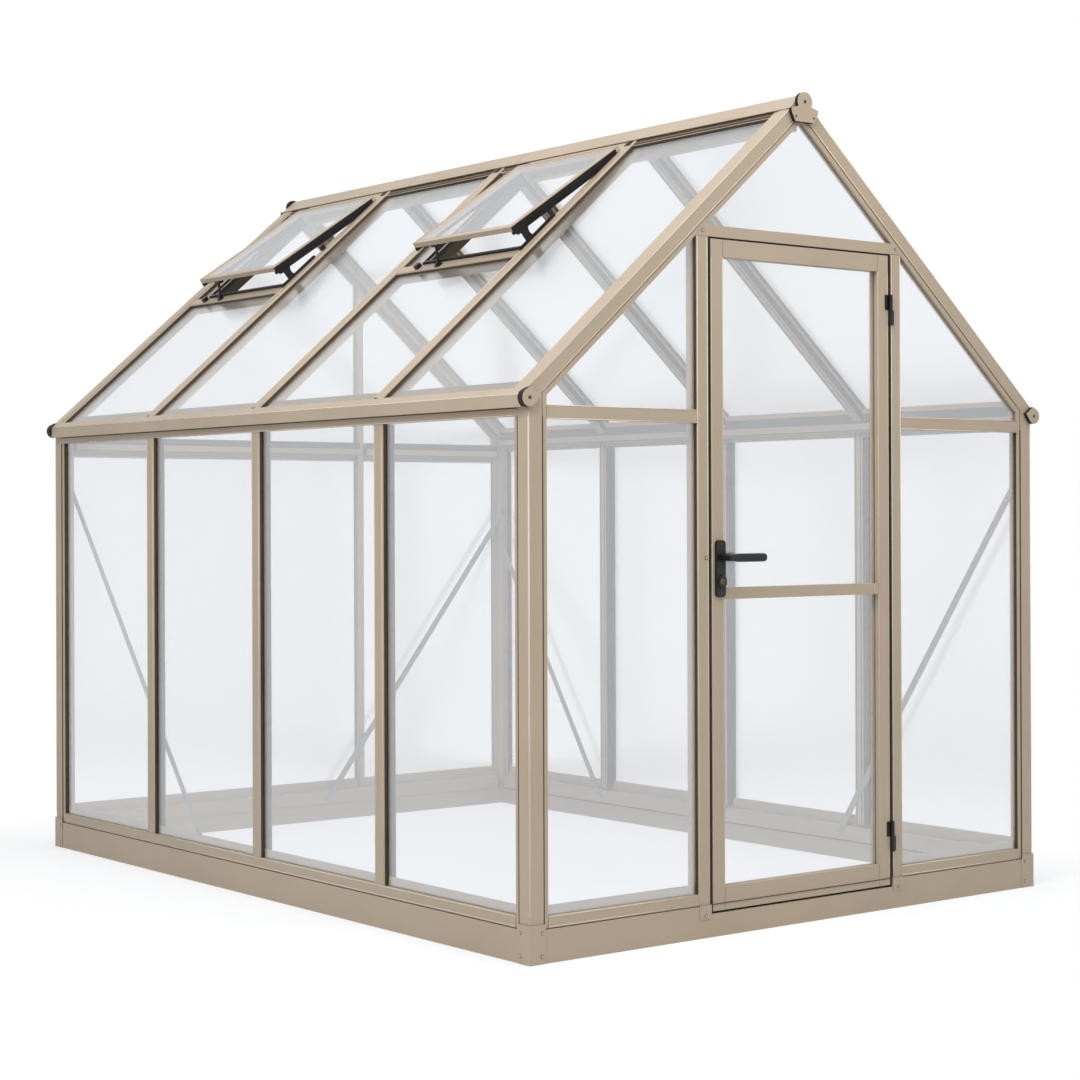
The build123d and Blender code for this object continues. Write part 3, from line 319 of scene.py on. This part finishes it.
def soften(obj, width):
    """Rounded edges on a CAD node, from its own flat faces."""
    weld = obj.modifiers.new("weld", "WELD")
    weld.merge_threshold = 0.00001
    flat = obj.modifiers.new("flat", "DECIMATE")
    flat.decimate_type = "DISSOLVE"
    flat.angle_limit = math.radians(0.5)
    bevel = obj.modifiers.new("bevel", "BEVEL")
    bevel.width = width * 0.001
    bevel.segments = 2
    bevel.limit_method = "ANGLE"
    bevel.angle_limit = BEVEL_ANGLE
    bevel.harden_normals = False
    smooth = obj.modifiers.new("smooth", "WEIGHTED_NORMAL")
    smooth.keep_sharp = False


# Edge widths in millimetres, and the names of thin nodes that get the least
EDGE = {"frame_paint": 1.1, "brace_metal": 0.5, "black_plastic": 0.8, "black_metal": 0.6,
        "lock_metal": 0.5}
THIN = ("plinth", "ridge_capping", "door_surround_plates", "hinge")
for name, obj in nodes.items():
    slot = slots[name]
    obj.data.materials.clear()
    obj.data.materials.append(LOOKS[slot])
    if slot != "glass":
        width = 0.5 if name.startswith(THIN) else EDGE[slot]
        soften(obj, width)


# Small pieces, built face by face
class Shape:
    """Collects faces for one object."""

    def __init__(self):
        self.mesh = bmesh.new()

    def loft(self, rings):
        """Joins rings of points into a closed skin."""
        loops = [[self.mesh.verts.new(p) for p in ring] for ring in rings]
        count = len(rings[0])
        for a, b in zip(loops, loops[1:]):
            for i in range(count):
                j = (i + 1) % count
                self.mesh.faces.new((a[i], a[j], b[j], b[i]))
        self.mesh.faces.new(list(reversed(loops[0])))
        self.mesh.faces.new(loops[-1])

    def prism(self, points, direction):
        """A flat outline pushed along a direction, both in metres."""
        self.loft([points, [p + direction for p in points]])

    def done(self, name, material, body, bevel=0.0, smooth=True):
        """The finished object, on its body, with an edge width in millimetres."""
        bmesh.ops.recalc_face_normals(self.mesh, faces=self.mesh.faces)
        data = bpy.data.meshes.new(name)
        self.mesh.to_mesh(data)
        self.mesh.free()
        obj = bpy.data.objects.new(name, data)
        scene.collection.objects.link(obj)
        data.materials.append(material)
        if smooth:
            data.shade_smooth()
        if bevel:
            rounding = obj.modifiers.new("bevel", "BEVEL")
            rounding.width = bevel * 0.001
            rounding.segments = 2
            rounding.limit_method = "ANGLE"
            rounding.angle_limit = BEVEL_ANGLE
            obj.modifiers.new("normals", "WEIGHTED_NORMAL")
        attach(obj, body)


def basis(normal):
    """Two directions square to a normal."""
    normal = Vector(normal).normalized()
    side = normal.orthogonal().normalized()
    if abs(normal.z) < 0.9:
        side = Vector((0, 0, 1)).cross(normal).normalized()
    return normal, side, normal.cross(side).normalized()


def screw(shape, place, normal, radius, height, recess="cross", washers=None):
    """A domed screw head with a hexagon or cross recess, and its washer if asked."""
    normal, u, v = basis(normal)
    count = 24

    def ring(r, h, cut=None):
        points = []
        for i in range(count):
            angle = 2 * math.pi * i / count
            reach = r
            if cut == "hex":
                turn = (angle % (math.pi / 3)) - math.pi / 6
                reach = r * math.cos(math.pi / 6) / math.cos(turn)
            if cut == "cross":
                reach = r if (i % 6) in (0, 1, 5) else r * 0.42
            offset = (u * math.cos(angle) + v * math.sin(angle)) * reach
            points.append(place + (offset + normal * h) * 0.001)
        return points

    rings = [ring(radius, -0.3), ring(radius, height * 0.35)]
    for k in (0.3, 0.6, 0.9):
        rise = 0.35 + 0.65 * math.sin(k) / math.sin(0.9)
        rings.append(ring(radius * math.cos(k), height * rise))
    rings.append(ring(radius * 0.5, height, recess))
    rings.append(ring(radius * 0.44, height * 0.35, recess))
    rings.append(ring(radius * 0.05, height * 0.3))
    shape.loft(rings)
    if washers:
        washers.loft([ring(radius + 1.5, -0.2), ring(radius + 1.5, 0.3), ring(radius, 0.35)])


# Screws of the corner plates, the door surround, the end plates and the handle plates
PLATE_SCREW_INSET = 39.5
PLATE_SCREWS_Z = (20, 78)
SURROUND_SCREWS = ((FRONT_FACE, 60.5), (FRONT_Y - 1, 1887))  # y and z
STRIKE_SCREW_X = -362
HANDLE_SCREWS_Z = (1050, 917)
plate_screws = Shape()
washers = Shape()
for sx in (-1, 1):
    for z in PLATE_SCREWS_Z:
        x = sx * (HALF_WIDTH - PLATE_SCREW_INSET)
        places = [(mm(x, FRONT_FACE, z), (0, -1, 0)), (mm(x, BACK_FACE, z), (0, 1, 0))]
        for y in (FRONT_FACE + PLATE_SCREW_INSET, BACK_FACE - PLATE_SCREW_INSET):
            places.append((mm(sx * HALF_WIDTH, y, z), (sx, 0, 0)))
        for place, normal in places:
            screw(plate_screws, place, normal, 3.4, 2.0, washers=washers)
plate_screws.done("plate_screws", zinc, "house")

surround_screws = Shape()
for sx in (-1, 1):
    for y, z in SURROUND_SCREWS:
        screw(surround_screws, mm(sx * POST_X, y, z), (0, -1, 0), 3.2, 1.8, washers=washers)
screw(
    surround_screws, mm(STRIKE_SCREW_X, FRONT_Y, LEVER_Z), (0, -1, 0), 4.2, 2.4, "hex", washers
)
surround_screws.done("surround_screws", zinc, "house")
washers.done("screw_washers", gasket_and_shade_mat, "house")

end_bolts = Shape()
for y, face in ((FRONT_Y - END_PLATE + 2, -1), (BACK_Y + END_PLATE - 2, 1)):
    for sx in (-1, 1):
        screw(end_bolts, mm(sx * HALF_WIDTH, y, EAVE - 24), (0, face, 0), 4.6, 1.9, "hex")
        screw(end_bolts, mm(sx * 34, y, RIDGE - 61), (0, face, 0), 3.0, 1.7)
    screw(end_bolts, mm(0, y, RIDGE - 18), (0, face, 0), 4.6, 1.9, "hex")
end_bolts.done("end_bolts", steel, "house")

handle_screws = Shape()
for z in HANDLE_SCREWS_Z:
    for y, face in ((HANDLE_FRONT, -1), (HANDLE_BACK, 1)):
        screw(handle_screws, mm(HANDLE_X, y, z), (0, face, 0), 2.6, 1.0, "hex")
handle_screws.done("handle_screws", steel, "door")


def slab(shape, place, a, b, d):
    """A block between two values of each coordinate of a place."""
    ring = ((b[0], d[0]), (b[1], d[0]), (b[1], d[1]), (b[0], d[1]))
    shape.loft([[place(end, across, depth) for across, depth in ring] for end in a])


def bead(shape, place, a, b, width=3.0, height=0.9):
    """A fine raised line along a profile, at b across it."""
    ring = ((-0.5, 0.2), (-0.3, -0.8), (0.3, -0.8), (0.5, 0.2))
    shape.loft([
        [place(end, b + u * width, v * height) for u, v in ring] for end in a
    ])


# Glazing gaskets: wedges between each bar and its pane, as (distance, depth) sections
OUTER_WEDGE = ((0, 3.4), (1, 3.8), (3.4, 10), (0, 10))
TOP_WEDGE = ((0, 4.5), (2.2, 6.5), (3.4, 10), (0, 10))
INNER_WEDGE = ((0, 22), (4, 20), (6.5, 14), (0, 14))
UPSTAND = ((SILL - 1, 14.2), (SILL - 1, 18), (142, 16.4), (144, 14.2))


def wedge(shape, place, along, edge, sign, section=OUTER_WEDGE):
    """A tapered strip along a bar's edge, outside or inside the pane."""
    low, high = along
    points = [place(low, edge + sign * w, d) for w, d in section]
    shape.prism(points, place(high, edge, 0) - place(low, edge, 0))


def upstand(shape, wall, low, high):
    """A glazing bead on the sill's inner lip, behind the pane."""
    points = [wall(z, low, d) for z, d in UPSTAND]
    shape.prism(points, wall(0, high, 0) - wall(0, low, 0))


post_edges = [FRONT_Y + CORNER]
for bar in BARS:
    post_edges += [bar - BAR, bar + BAR]
post_edges.append(BACK_Y - CORNER)
bays = list(zip(post_edges[0::2], post_edges[1::2]))

gaskets = Shape()
upstands = Shape()
for wall in (left_wall, right_wall):
    for low, high in bays:
        wedge(gaskets, wall, (SILL, EAVE_BOTTOM), low, 1)
        wedge(gaskets, wall, (SILL, EAVE_BOTTOM), high, -1)
        if low > post_edges[0]:
            low -= BAR - LEG
        if high < post_edges[-1]:
            high += BAR - LEG
        wedge(gaskets, wall, (SILL, EAVE_BOTTOM), low, 1, INNER_WEDGE)
        wedge(gaskets, wall, (SILL, EAVE_BOTTOM), high, -1, INNER_WEDGE)
        upstand(upstands, wall, low, high)
gaskets.done("wall_gaskets", gasket_and_shade_mat, "house", smooth=False)

roof_gaskets = Shape()
for roof in (left_roof, right_roof):
    for k, (low, high) in enumerate(bays):
        vent = roof is left_roof and k in (1, 3)
        top = TRIMMER_LOW if vent else FLANGE_END
        wedge(roof_gaskets, roof, (top, EAVE_SLOPE), low, 1)
        wedge(roof_gaskets, roof, (FLANGE_END, EAVE_SLOPE), high, -1)
        wedge(roof_gaskets, crosswise(roof), (low, high), top, 1, TOP_WEDGE)
        if vent:
            side = VENT_STARTS[k // 2] + SIDE_BAR_END
            wedge(roof_gaskets, roof, (FLANGE_END, TRIMMER_TOP), side, 1)
roof_gaskets.done("roof_gaskets", gasket_and_shade_mat, "house", smooth=False)

gable_gaskets = Shape()
outer = FRAME_X - CORNER
for wall, spans, rail in (
    (front_wall, ((-outer, -JAMB_OUT), (JAMB_OUT, outer)), (RAIL_LOW, RAIL_HIGH)),
    (back_wall, ((-outer, BACK_POST - BACK_HALF), (BACK_POST + BACK_HALF, outer)),
     (BACK_RAIL_LOW, BACK_RAIL_HIGH)),
):
    for low, high in spans:
        upstand(upstands, wall, low, high)
        for edge, sign in ((low, 1), (high, -1)):
            wedge(gable_gaskets, wall, (SILL, rail[0]), edge, sign)
            if abs(edge) < outer:
                wedge(gable_gaskets, wall, (rail[1], roof_z(edge, RAKE_END)), edge, sign)
gable_gaskets.done("gable_gaskets", gasket_and_shade_mat, "house", smooth=False)
upstands.done("sill_upstands", paint, "house", smooth=False)

# Door seals in the gap, with lips over the jambs' edges, and on the header and the plinth
SEAL_LOW = 62
SEAL_BACK = 30  # depth of the seals' inner faces
DOOR_REACH = 345  # half of the seals' width over the door
LIP_HEIGHTS = (90, HEADER_LOW - 2)  # of the lips and of the lines beside them
door_seals = Shape()
for low, high in ((-JAMB_IN, -343.4), (343.6, JAMB_IN)):
    section = [(low, 1.6), (high, 1.6), (high, SEAL_BACK), (low, SEAL_BACK)]
    door_seals.prism(
        [mm(x, FRONT_Y + d, SEAL_LOW) for x, d in section], mm(0, 0, HEADER_LOW - SEAL_LOW)
    )
for low, high in ((-JAMB_IN - 2.5, -JAMB_IN + 1), (JAMB_IN - 1, JAMB_IN + 2.5)):
    slab(door_seals, front_wall, LIP_HEIGHTS, (low, high), (-0.4, 0.6))
for fixed, free, front in ((HEADER_LOW, HEADER_LOW - 3, 2), (SEAL_LOW, SEAL_LOW + 3.2, 7)):
    section = [(fixed, front), (fixed, SEAL_BACK), (free, SEAL_BACK), (free, front)]
    door_seals.prism(
        [mm(-DOOR_REACH, FRONT_Y + d, z) for z, d in section], mm(2 * DOOR_REACH, 0, 0)
    )
door_seals.done("door_seals", rubber_and_shade, "house", bevel=0.4)

# Ridge: painted shade in the recess under each wing of the capping, light lines in it, plugs over
# the rafters and seams
BEAM = (FRONT_Y + 44.5, BACK_Y - 44.5)
RECESS_START = 60.5  # slope distance, just past the free edge of a wing
recess = Shape()
recess_lines = Shape()
plugs = Shape()
seams = Shape()
for roof in (left_roof, right_roof):
    slab(recess, roof, (RECESS_START, 79.6), BEAM, (4.3, 8))
    slab(recess_lines, roof, (69, 70.8), BEAM, (3.4, 4.3))
    for bar in BARS:
        slab(plugs, roof, (RECESS_START, 84.6), (bar - 13, bar + 13), (-1.2, 5.2))
    for y in (-60, 540):
        slab(seams, roof, (0.4, 60.1), (y - 0.5, y + 0.5), (-3.15, -2.8))
recess.done("painted_ridge_shade", gasket_and_shade_mat, "house", smooth=False)
recess_lines.done("ridge_flange_lines", paint, "house", smooth=False)
plugs.done("rafter_plugs", rubber_and_shade, "house", bevel=0.8)
seams.done("capping_seams", gasket_and_shade_mat, "house", smooth=False)

# Raised fine lines in a lighter paint along the edges of posts, rafters, rakes, corners, sills,
# rails, gutters and jambs: painted highlights on those edges
BAR_LINE = 18.2  # middle of a bar to its lines
RAKE_LINES = (1.4, 36.6)
beads = Shape()
for bar in BARS:
    for offset in (-BAR_LINE, BAR_LINE):
        for wall in (left_wall, right_wall):
            bead(beads, wall, (SILL + 1, EAVE_BOTTOM - 1), bar + offset)
        for roof in (left_roof, right_roof):
            bead(beads, roof, (FLANGE_END + 1, EAVE_SLOPE - 1), bar + offset)
for wall in (left_wall, right_wall):
    for y in (FRONT_Y + 1.6, BACK_Y - 1.6):
        bead(beads, wall, (SILL + 1, EAVE - 70), y)
for wall in (front_wall, back_wall):
    for x in (1.6 - FRAME_X, FRAME_X - 1.6):
        bead(beads, wall, (SILL + 1, EAVE - 60), x)
for side in (-1, 1):
    for edge, sign in ((FRONT_Y, 1), (BACK_Y, -1)):
        def rake(along, across, depth):
            return mm(
                side * (along * COS - across * SIN), edge + sign * depth,
                RIDGE - along * SIN - across * COS,
            )

        for across in RAKE_LINES:
            bead(beads, rake, (70, EAVE_SLOPE - 30), across)
for wall in (left_wall, right_wall):
    span = (FRONT_Y + CORNER, BACK_Y - CORNER)
    for z in (SILL - 1.6, PLINTH_JOINT + 5, EAVE_BOTTOM + 1.6):
        bead(beads, crosswise(wall), span, z)
WING_SPANS = ((CORNER - FRAME_X, -JAMB_OUT), (JAMB_OUT, FRAME_X - CORNER))
for wall, spans in (
    (front_wall, WING_SPANS), (back_wall, ((CORNER - FRAME_X, FRAME_X - CORNER),)),
):
    for span in spans:
        for z in (SILL - 1.6, PLINTH_JOINT + 5):
            bead(beads, crosswise(wall), span, z)
for span in WING_SPANS:
    for z in (RAIL_LOW + 1.4, RAIL_HIGH - 1.4):
        bead(beads, crosswise(front_wall), span, z)
for side in (-1, 1):
    def gutter(along, across, depth):
        return mm(side * (GUTTER_X - depth), along, roof_z(GUTTER_X) - across)

    bead(beads, gutter, (FRONT_Y + 12, BACK_Y - 12), 1.4)
    for x in (side * (JAMB_OUT - 1.8), side * (JAMB_IN + 5)):
        bead(beads, front_wall, LIP_HEIGHTS, x)
beads.done("painted_highlight_lines", painted_highlight, "house")

# Painted highlights: raised lines in the lighter paint along the door's stiles
door_beads = Shape()
for side in (-1, 1):
    for x in (side * 340.6, side * 300):
        bead(door_beads, front_wall, (DOOR_LOW + 64, DOOR_HIGH - 48), x, 1.6, 0.5)
door_beads.done("door_painted_highlight_lines", painted_highlight, "door")

# Painted shade: dark strips in the grooves beside the corner posts; and a dark joint between sill
# and plinth
GROOVE = (43.8, 46.8)  # from the corner
grooves = Shape()
for wall, ends in ((left_wall, (FRONT_Y, BACK_Y)), (right_wall, (FRONT_Y, BACK_Y)),
                   (front_wall, (-FRAME_X, FRAME_X)), (back_wall, (-FRAME_X, FRAME_X))):
    for end, sign in ((ends[0], 1), (ends[1], -1)):
        low, high = sorted(end + sign * reach for reach in GROOVE)
        slab(grooves, wall, (SILL - 28, EAVE_BOTTOM), (low, high), (-0.2, 1.6))
    low, high = sorted(ends)
    slab(grooves, wall, (PLINTH_JOINT, PLINTH_JOINT + 1.8), (low + 48, high - 48), (-1.7, 0.2))
grooves.done("groove_shade_and_joint", gasket_and_shade_mat, "house", smooth=False)

# Painted shade seen through the panes: dark strips on the sides of the inner legs, dark lines for
# the shade of grooves on the legs' and beams' inner faces, and darker bands on the inner faces of
# the eave beams and back rails
LEG_LINE = (9, 12)  # from the bar's middle
legs = Shape()
painted_shade_lines = Shape()
shades = Shape()
for bar in BARS:
    for sign in (-1, 1):
        side = sorted((bar + sign * LEG, bar + sign * (LEG + 0.5)))
        line = sorted(bar + sign * reach for reach in LEG_LINE)
        for wall in (left_wall, right_wall):
            slab(legs, wall, (SILL + 1, EAVE_BOTTOM - 1), side, LEG_SIDE)
            slab(painted_shade_lines, wall, (SILL + 1, EAVE_BOTTOM + 14), line, LEG_FACE)
        slab(legs, right_roof, (FLANGE_END + 4, EAVE_SLOPE - 8), side, LEG_SIDE)
        for roof in (left_roof, right_roof):
            slab(painted_shade_lines, roof, (FLANGE_END + 4, EAVE_SLOPE - 60), line, LEG_FACE)
beam = (FRONT_Y + 46, BACK_Y - 46)
for wall in (left_wall, right_wall):
    for line in ((1399, 1402), (1424, 1426.5), (1450, 1453), (58, 61)):
        slab(painted_shade_lines, wall, line, beam, LEG_FACE)
    slab(shades, wall, (1427, 1449), beam, LEG_FACE)
rails = ((-900, BACK_POST - BACK_HALF), (BACK_POST + BACK_HALF, 900))
for start in (BACK_RAIL_LOW + 22, BACK_RAIL_HIGH - 24.5):
    for rail in rails:
        slab(painted_shade_lines, back_wall, (start, start + 2.5), rail, LEG_FACE)
for rail in rails:
    slab(shades, back_wall, (BACK_RAIL_HIGH - 22, BACK_RAIL_HIGH - 2), rail, LEG_FACE)
legs.done("painted_leg_side_shade", gasket_and_shade_mat, "house", smooth=False)
painted_shade_lines.done("painted_shade_lines", gasket_and_shade_mat, "house", smooth=False)
shades.done("painted_rail_shade", shade_mat, "house", smooth=False)

# Painted shade: thin dark patches where the rafters end at the eave
notches = Shape()
for roof in (left_roof, right_roof):
    for bar in BARS:
        end = (EAVE_SLOPE - 1.5, EAVE_SLOPE + 1.5)
        slab(notches, roof, end, (bar + 1, bar + 17), (-0.7, 0.5))
notches.done("rafter_notch_shade", rubber_and_shade, "house", bevel=0.2)

# Vents: ribbed side covers, end blocks, links, catches, pegs and knobs
TILT = math.radians(7)
SASH_TOP, SASH_WIDE, SASH_LAP = 104, 490, 10
SASH_END = 489.5
BLOCK_START = 461.5
SASH_FACE = (15.9, 17.2)
LINK_SLOPE = 546.35


def sash(u, y, w):
    """A place on the open sashes: down the sash, along the house and outward."""
    return left_roof(
        SASH_TOP + u * math.cos(TILT) - w * math.sin(TILT), y,
        -(u * math.sin(TILT) + w * math.cos(TILT)),
    )


def lift(slope):
    """Height of the open sash's underside over the roof."""
    return (slope - SASH_TOP) * math.tan(TILT)


# Small black fittings: place, reach along it, reach from the vent's start, and depth
FITTINGS = (
    (left_roof, (430, 600), (-8.5, -1), (-7, 0)),
    (left_roof, (432, 598), (-6, -3.5), (-9, -7)),
    (left_roof, (587, 595), (1, 482), (-8.6, -6)),
    (sash, (460, 488), (370, 402), (-8, 0)),
    (sash, (466, 482), (376, 396), (-14, -8)),
    (left_roof, (604, 621), (376, 399), (-6, 0)),
    (left_roof, (608, 617), (381, 394), (-12, -6)),
    (left_roof, (598, 618), (489, 505), (-13, 0)),
    (left_roof, (112, TRIMMER_TOP - 2), (SIDE_BAR - 0.8, SIDE_BAR + 0.3), (0.5, 13)),
)
covers = Shape()
trims = Shape()
links = Shape()
fixings = Shape()
vent_bolts = Shape()
bar_faces = Shape()
for start in VENT_STARTS:
    near, far = start - SASH_LAP, start + SASH_WIDE - SASH_LAP
    for low, high in ((near - 1.3, near), (far, far + 1.3)):
        slab(covers, sash, (16, 489), (low, high), (0.4, 13))
        for w in (-4.5, -8.5, -12.5):
            slab(covers, sash, (12 - w * 11.5, 461), (low, high), (w, w + 2))
        rib = (low - 0.5 * (low < near), high + 0.5 * (high > far))
        for w in (1.6, 5.4, 9.2):
            slab(covers, sash, (18, 487), rib, (w, w + 1.6))
    slab(trims, sash, (0.5, SASH_END), (far - 9, far - 0.5), SASH_FACE)
    slab(trims, sash, (0.5, 9), (near + 0.5, far - 9), SASH_FACE)
    slab(covers, sash, (BLOCK_START, SASH_END), (near - 1.5, near + 7), (-11, 0))
    slab(covers, sash, (BLOCK_START, 476), (near - 1.5, near + 7), (-18, -11))
    slab(covers, sash, (BLOCK_START, SASH_END), (far - 7, far + 1.5), (-11, 0))
    top = lift(LINK_SLOPE)
    outline = [(-21, top - 3), (-20, top - 15), (-13, top - 25), (-11, 18), (-15, 9), (-13, 1),
               (13, 1), (15, 9), (11, 18), (13, top - 25), (20, top - 15), (20, top + 2)]
    face = start - 3.8
    links.prism([left_roof(LINK_SLOPE + a, face, -h) for a, h in outline], mm(0, 3.6, 0))
    for h, r in ((top - 12, 5.2), (9, 4.2)):
        screw(vent_bolts, left_roof(LINK_SLOPE, face, -h), (0, -1, 0), r, 2.4, "hex")
    for place, along, (low, high), depth in FITTINGS:
        slab(fixings, place, along, (start + low, start + high), depth)
    side = start + SIDE_BAR
    slab(bar_faces, left_roof, (112, TRIMMER_TOP - 2), (side - 0.5, side + 0.3), (13, 43))
far_start = VENT_STARTS[1]
slab(fixings, left_roof, (380, 396), (far_start - 16, far_start - 3), (-15, 0))
covers.done("vent_side_covers", rubber_and_shade, "house", bevel=0.4)
trims.done("sash_trims", paint, "house", bevel=0.4)
links.done("vent_link_plates", black_coat, "house", bevel=0.9)
fixings.done("vent_fixings", black_coat, "house", bevel=1.6)
vent_bolts.done("vent_bolts", steel, "house")
bar_faces.done("vent_bar_faces", gasket_and_shade_mat, "house", smooth=False)

# Brace screws, and a spacer where the back brace crosses the gable post
BRACE_X, BRACE_Y = 914, 1299  # inner faces of the braces
CROSSING_Z = 290
SPACER_RADIUS = 6
brace_screws = Shape()
for side, y, z in ((-1, 398.2, 85), (-1, 1313, 1215), (1, 691.6, 85), (1, 1313, 1047),
                   (1, -540.7, 85), (1, -1273, 1201), (1, -1252, 1168)):
    screw(brace_screws, mm(side * BRACE_X, y, z), (-side, 0, 0), 5.2, 3.0, "hex")
for x, z in ((114, 85), (928, 1141), (BACK_POST, CROSSING_Z)):
    screw(brace_screws, mm(x, BRACE_Y, z), (0, -1, 0), 5.2, 3.0, "hex")
brace_screws.done("brace_screws", zinc, "house")
spacer = Shape()
spacer.loft([
    [mm(BACK_POST + SPACER_RADIUS * math.cos(k * math.pi / 8), y,
        CROSSING_Z + SPACER_RADIUS * math.sin(k * math.pi / 8))
     for k in range(16)]
    for y in (1301.9, 1305, 1312, 1315.1)
])
spacer.done("brace_spacer", zinc, "house")

# Door: seams at the corners, the lever's grip and the cylinder's collar
door_lines = Shape()
for x in (-298.5, 298.5):
    for low, high in ((68.5, 131), (901, 932), (DOOR_HIGH - 47, DOOR_HIGH - 0.6)):
        slab(door_lines, front_wall, (low, high), (x - 0.45, x + 0.45), (-0.14, 0.3))
door_lines.done("door_seams", gasket_and_shade_mat, "door", smooth=False)


def grip_ring(x, y, sign, high, deep):
    """A bevelled section of the lever's grip, from half of its height and depth."""
    cut = 4.0
    corners = [(high, -deep + cut), (high - cut, -deep), (cut - high, -deep), (-high, -deep + cut),
               (-high, deep - 2), (2 - high, deep), (high - 2, deep), (high, deep - 2)]
    return [mm(x, y + sign * b, LEVER_Z + a) for a, b in corners]


grips = Shape()
for y, sign in ((FRONT_Y - 46.6, 1), (FRONT_Y + 32 + 46.6, -1)):
    grips.loft([
        grip_ring(x, y, sign, high, deep)
        for x, high, deep in ((-300, 8.5, 5.5), (-296, 10.4, 6.6), (-288, 11.4, 7.2),
                              (-200, 11.4, 7.2), (-193, 10.8, 7.0), (-189, 9.0, 6.4),
                              (-187.2, 6.0, 5.2))
    ])
grips.done("lever_grips", black_coat, "lever", bevel=0.9)

collars = Shape()
keyways = Shape()
rings = Shape()
for face, sign in ((HANDLE_FRONT, -1), (HANDLE_BACK, 1)):
    def oval(a, b, out, shift=0.0):
        """A ring of points round the lock, a given distance out of the plate."""
        return [
            mm(HANDLE_X + shift + a * math.cos(k * math.pi / 16), face + sign * out,
               LOCK_Z + b * math.sin(k * math.pi / 16))
            for k in range(32)
        ]

    collars.loft([
        oval(15.5, 19, -0.2, 3), oval(15.5, 19, 2.2, 3), oval(14, 17.4, 4.0, 3),
        oval(11, 13.5, 4.6, 2),
    ])
    rings.loft([oval(r, r, out) for r, out in ((8.2, 4.4), (8.2, 5.4), (7.2, 5.9), (5.6, 5.9))])
    low, high = sorted((face + sign * 5.8, face + sign * 6.2))
    for half_x, half_z, z in ((0.8, 3.4, 0.6), (1.9, 1.9, -1.6)):
        keyways.loft([
            [mm(HANDLE_X + u * half_x, y, LOCK_Z + z + v * half_z)
             for u, v in ((-1, -1), (1, -1), (1, 1), (-1, 1))]
            for y in (low, high)
        ])
collars.done("lock_collars", black_coat, "door", bevel=0.5)
rings.done("lock_rings", brass, "door")
keyways.done("keyways", rubber_and_shade, "door", smooth=False)

# Floor, lamps and a plain white surround, in metres
FLOOR_REACH = 30
SHADOW_REACH = (("X", 0.98), ("Y", 1.33))  # half of the floor under the house
WHITE = (1, 1, 1)


def seen(tree):
    """One where a camera, glossy or transmission ray looks."""
    path = tree.nodes.new("ShaderNodeLightPath")
    rays = [path.outputs[f"Is {kind} Ray"] for kind in ("Camera", "Glossy", "Transmission")]
    return calculate(tree, "MAXIMUM", calculate(tree, "MAXIMUM", *rays[:2]), rays[2])


def shader_of(tree, kind, color, strength=None):
    """A plain shader or background of one colour."""
    node = tree.nodes.new(kind)
    node.inputs["Color"].default_value = (*color, 1)
    if strength is not None:
        node.inputs["Strength"].default_value = strength
    return node.outputs[0]


def mix_shaders(tree, factor, first, second):
    """The first shader, and the second where the factor is one."""
    node = tree.nodes.new("ShaderNodeMixShader")
    for socket, source in zip(node.inputs, (factor, first, second)):
        tree.links.new(source, socket)
    return node.outputs[0]


floor_mesh = bpy.data.meshes.new("floor")
floor_mesh.from_pydata(
    [(x * FLOOR_REACH, y * FLOOR_REACH, 0) for x, y in ((-1, -1), (1, -1), (1, 1), (-1, 1))],
    [], [(0, 1, 2, 3)],
)
floor = bpy.data.objects.new("floor", floor_mesh)
scene.collection.objects.link(floor)

# The floor takes the shadow near the house and fades to plain white 0.7 m outside it
floor_mat = bpy.data.materials.new("floor")
floor_mat.use_nodes = True
tree = floor_mat.node_tree
tree.nodes.clear()
matte = shader_of(tree, "ShaderNodeBsdfDiffuse", (0.82, 0.82, 0.82))
catcher = shader_of(tree, "ShaderNodeBsdfDiffuse", (0.42, 0.42, 0.42))
glow = shader_of(tree, "ShaderNodeEmission", (0.56, 0.57, 0.585))
both = tree.nodes.new("ShaderNodeAddShader")
tree.links.new(catcher, both.inputs[0])
tree.links.new(glow, both.inputs[1])
where = tree.nodes.new("ShaderNodeTexCoord")
split = tree.nodes.new("ShaderNodeSeparateXYZ")
tree.links.new(where.outputs["Object"], split.inputs[0])
outside = [
    calculate(tree, "SUBTRACT", calculate(tree, "ABSOLUTE", split.outputs[axis]), limit)
    for axis, limit in SHADOW_REACH
]
past = spread(tree, calculate(tree, "MAXIMUM", *outside), 0.0, 1.0, 0.02, 0.7)
faded = mix_shaders(tree, past, both.outputs[0], shader_of(tree, "ShaderNodeEmission", WHITE))
out = tree.nodes.new("ShaderNodeOutputMaterial")
tree.links.new(mix_shaders(tree, seen(tree), matte, faded), out.inputs["Surface"])
floor_mesh.materials.append(floor_mat)

# The world lights the house softly and looks plain white
world = bpy.data.worlds.new("studio")
scene.world = world
world.use_nodes = True
tree = world.node_tree
tree.nodes.clear()
soft = shader_of(tree, "ShaderNodeBackground", WHITE, 0.42)
white = shader_of(tree, "ShaderNodeBackground", WHITE, 1.0)
out = tree.nodes.new("ShaderNodeOutputWorld")
tree.links.new(mix_shaders(tree, seen(tree), soft, white), out.inputs["Surface"])


def lamp(name, place, target, size, watts):
    """A square lamp that no surface mirrors."""
    data = bpy.data.lights.new(name, "AREA")
    data.shape = "SQUARE"
    data.size = size
    data.energy = watts
    obj = bpy.data.objects.new(name, data)
    scene.collection.objects.link(obj)
    obj.location = place
    obj.rotation_euler = (Vector(target) - Vector(place)).to_track_quat("-Z", "Y").to_euler()
    obj.visible_glossy = False


lamp("key", (-3.8, -2.6, 4.5), (0, 0, 1.2), 2.8, 182)
lamp("fill", (0.6, -3.6, 4.2), (0, -1.0, 1.2), 2.2, 64)
lamp("top", (0, 0, 6.0), (0, 0, 0), 4.0, 80)
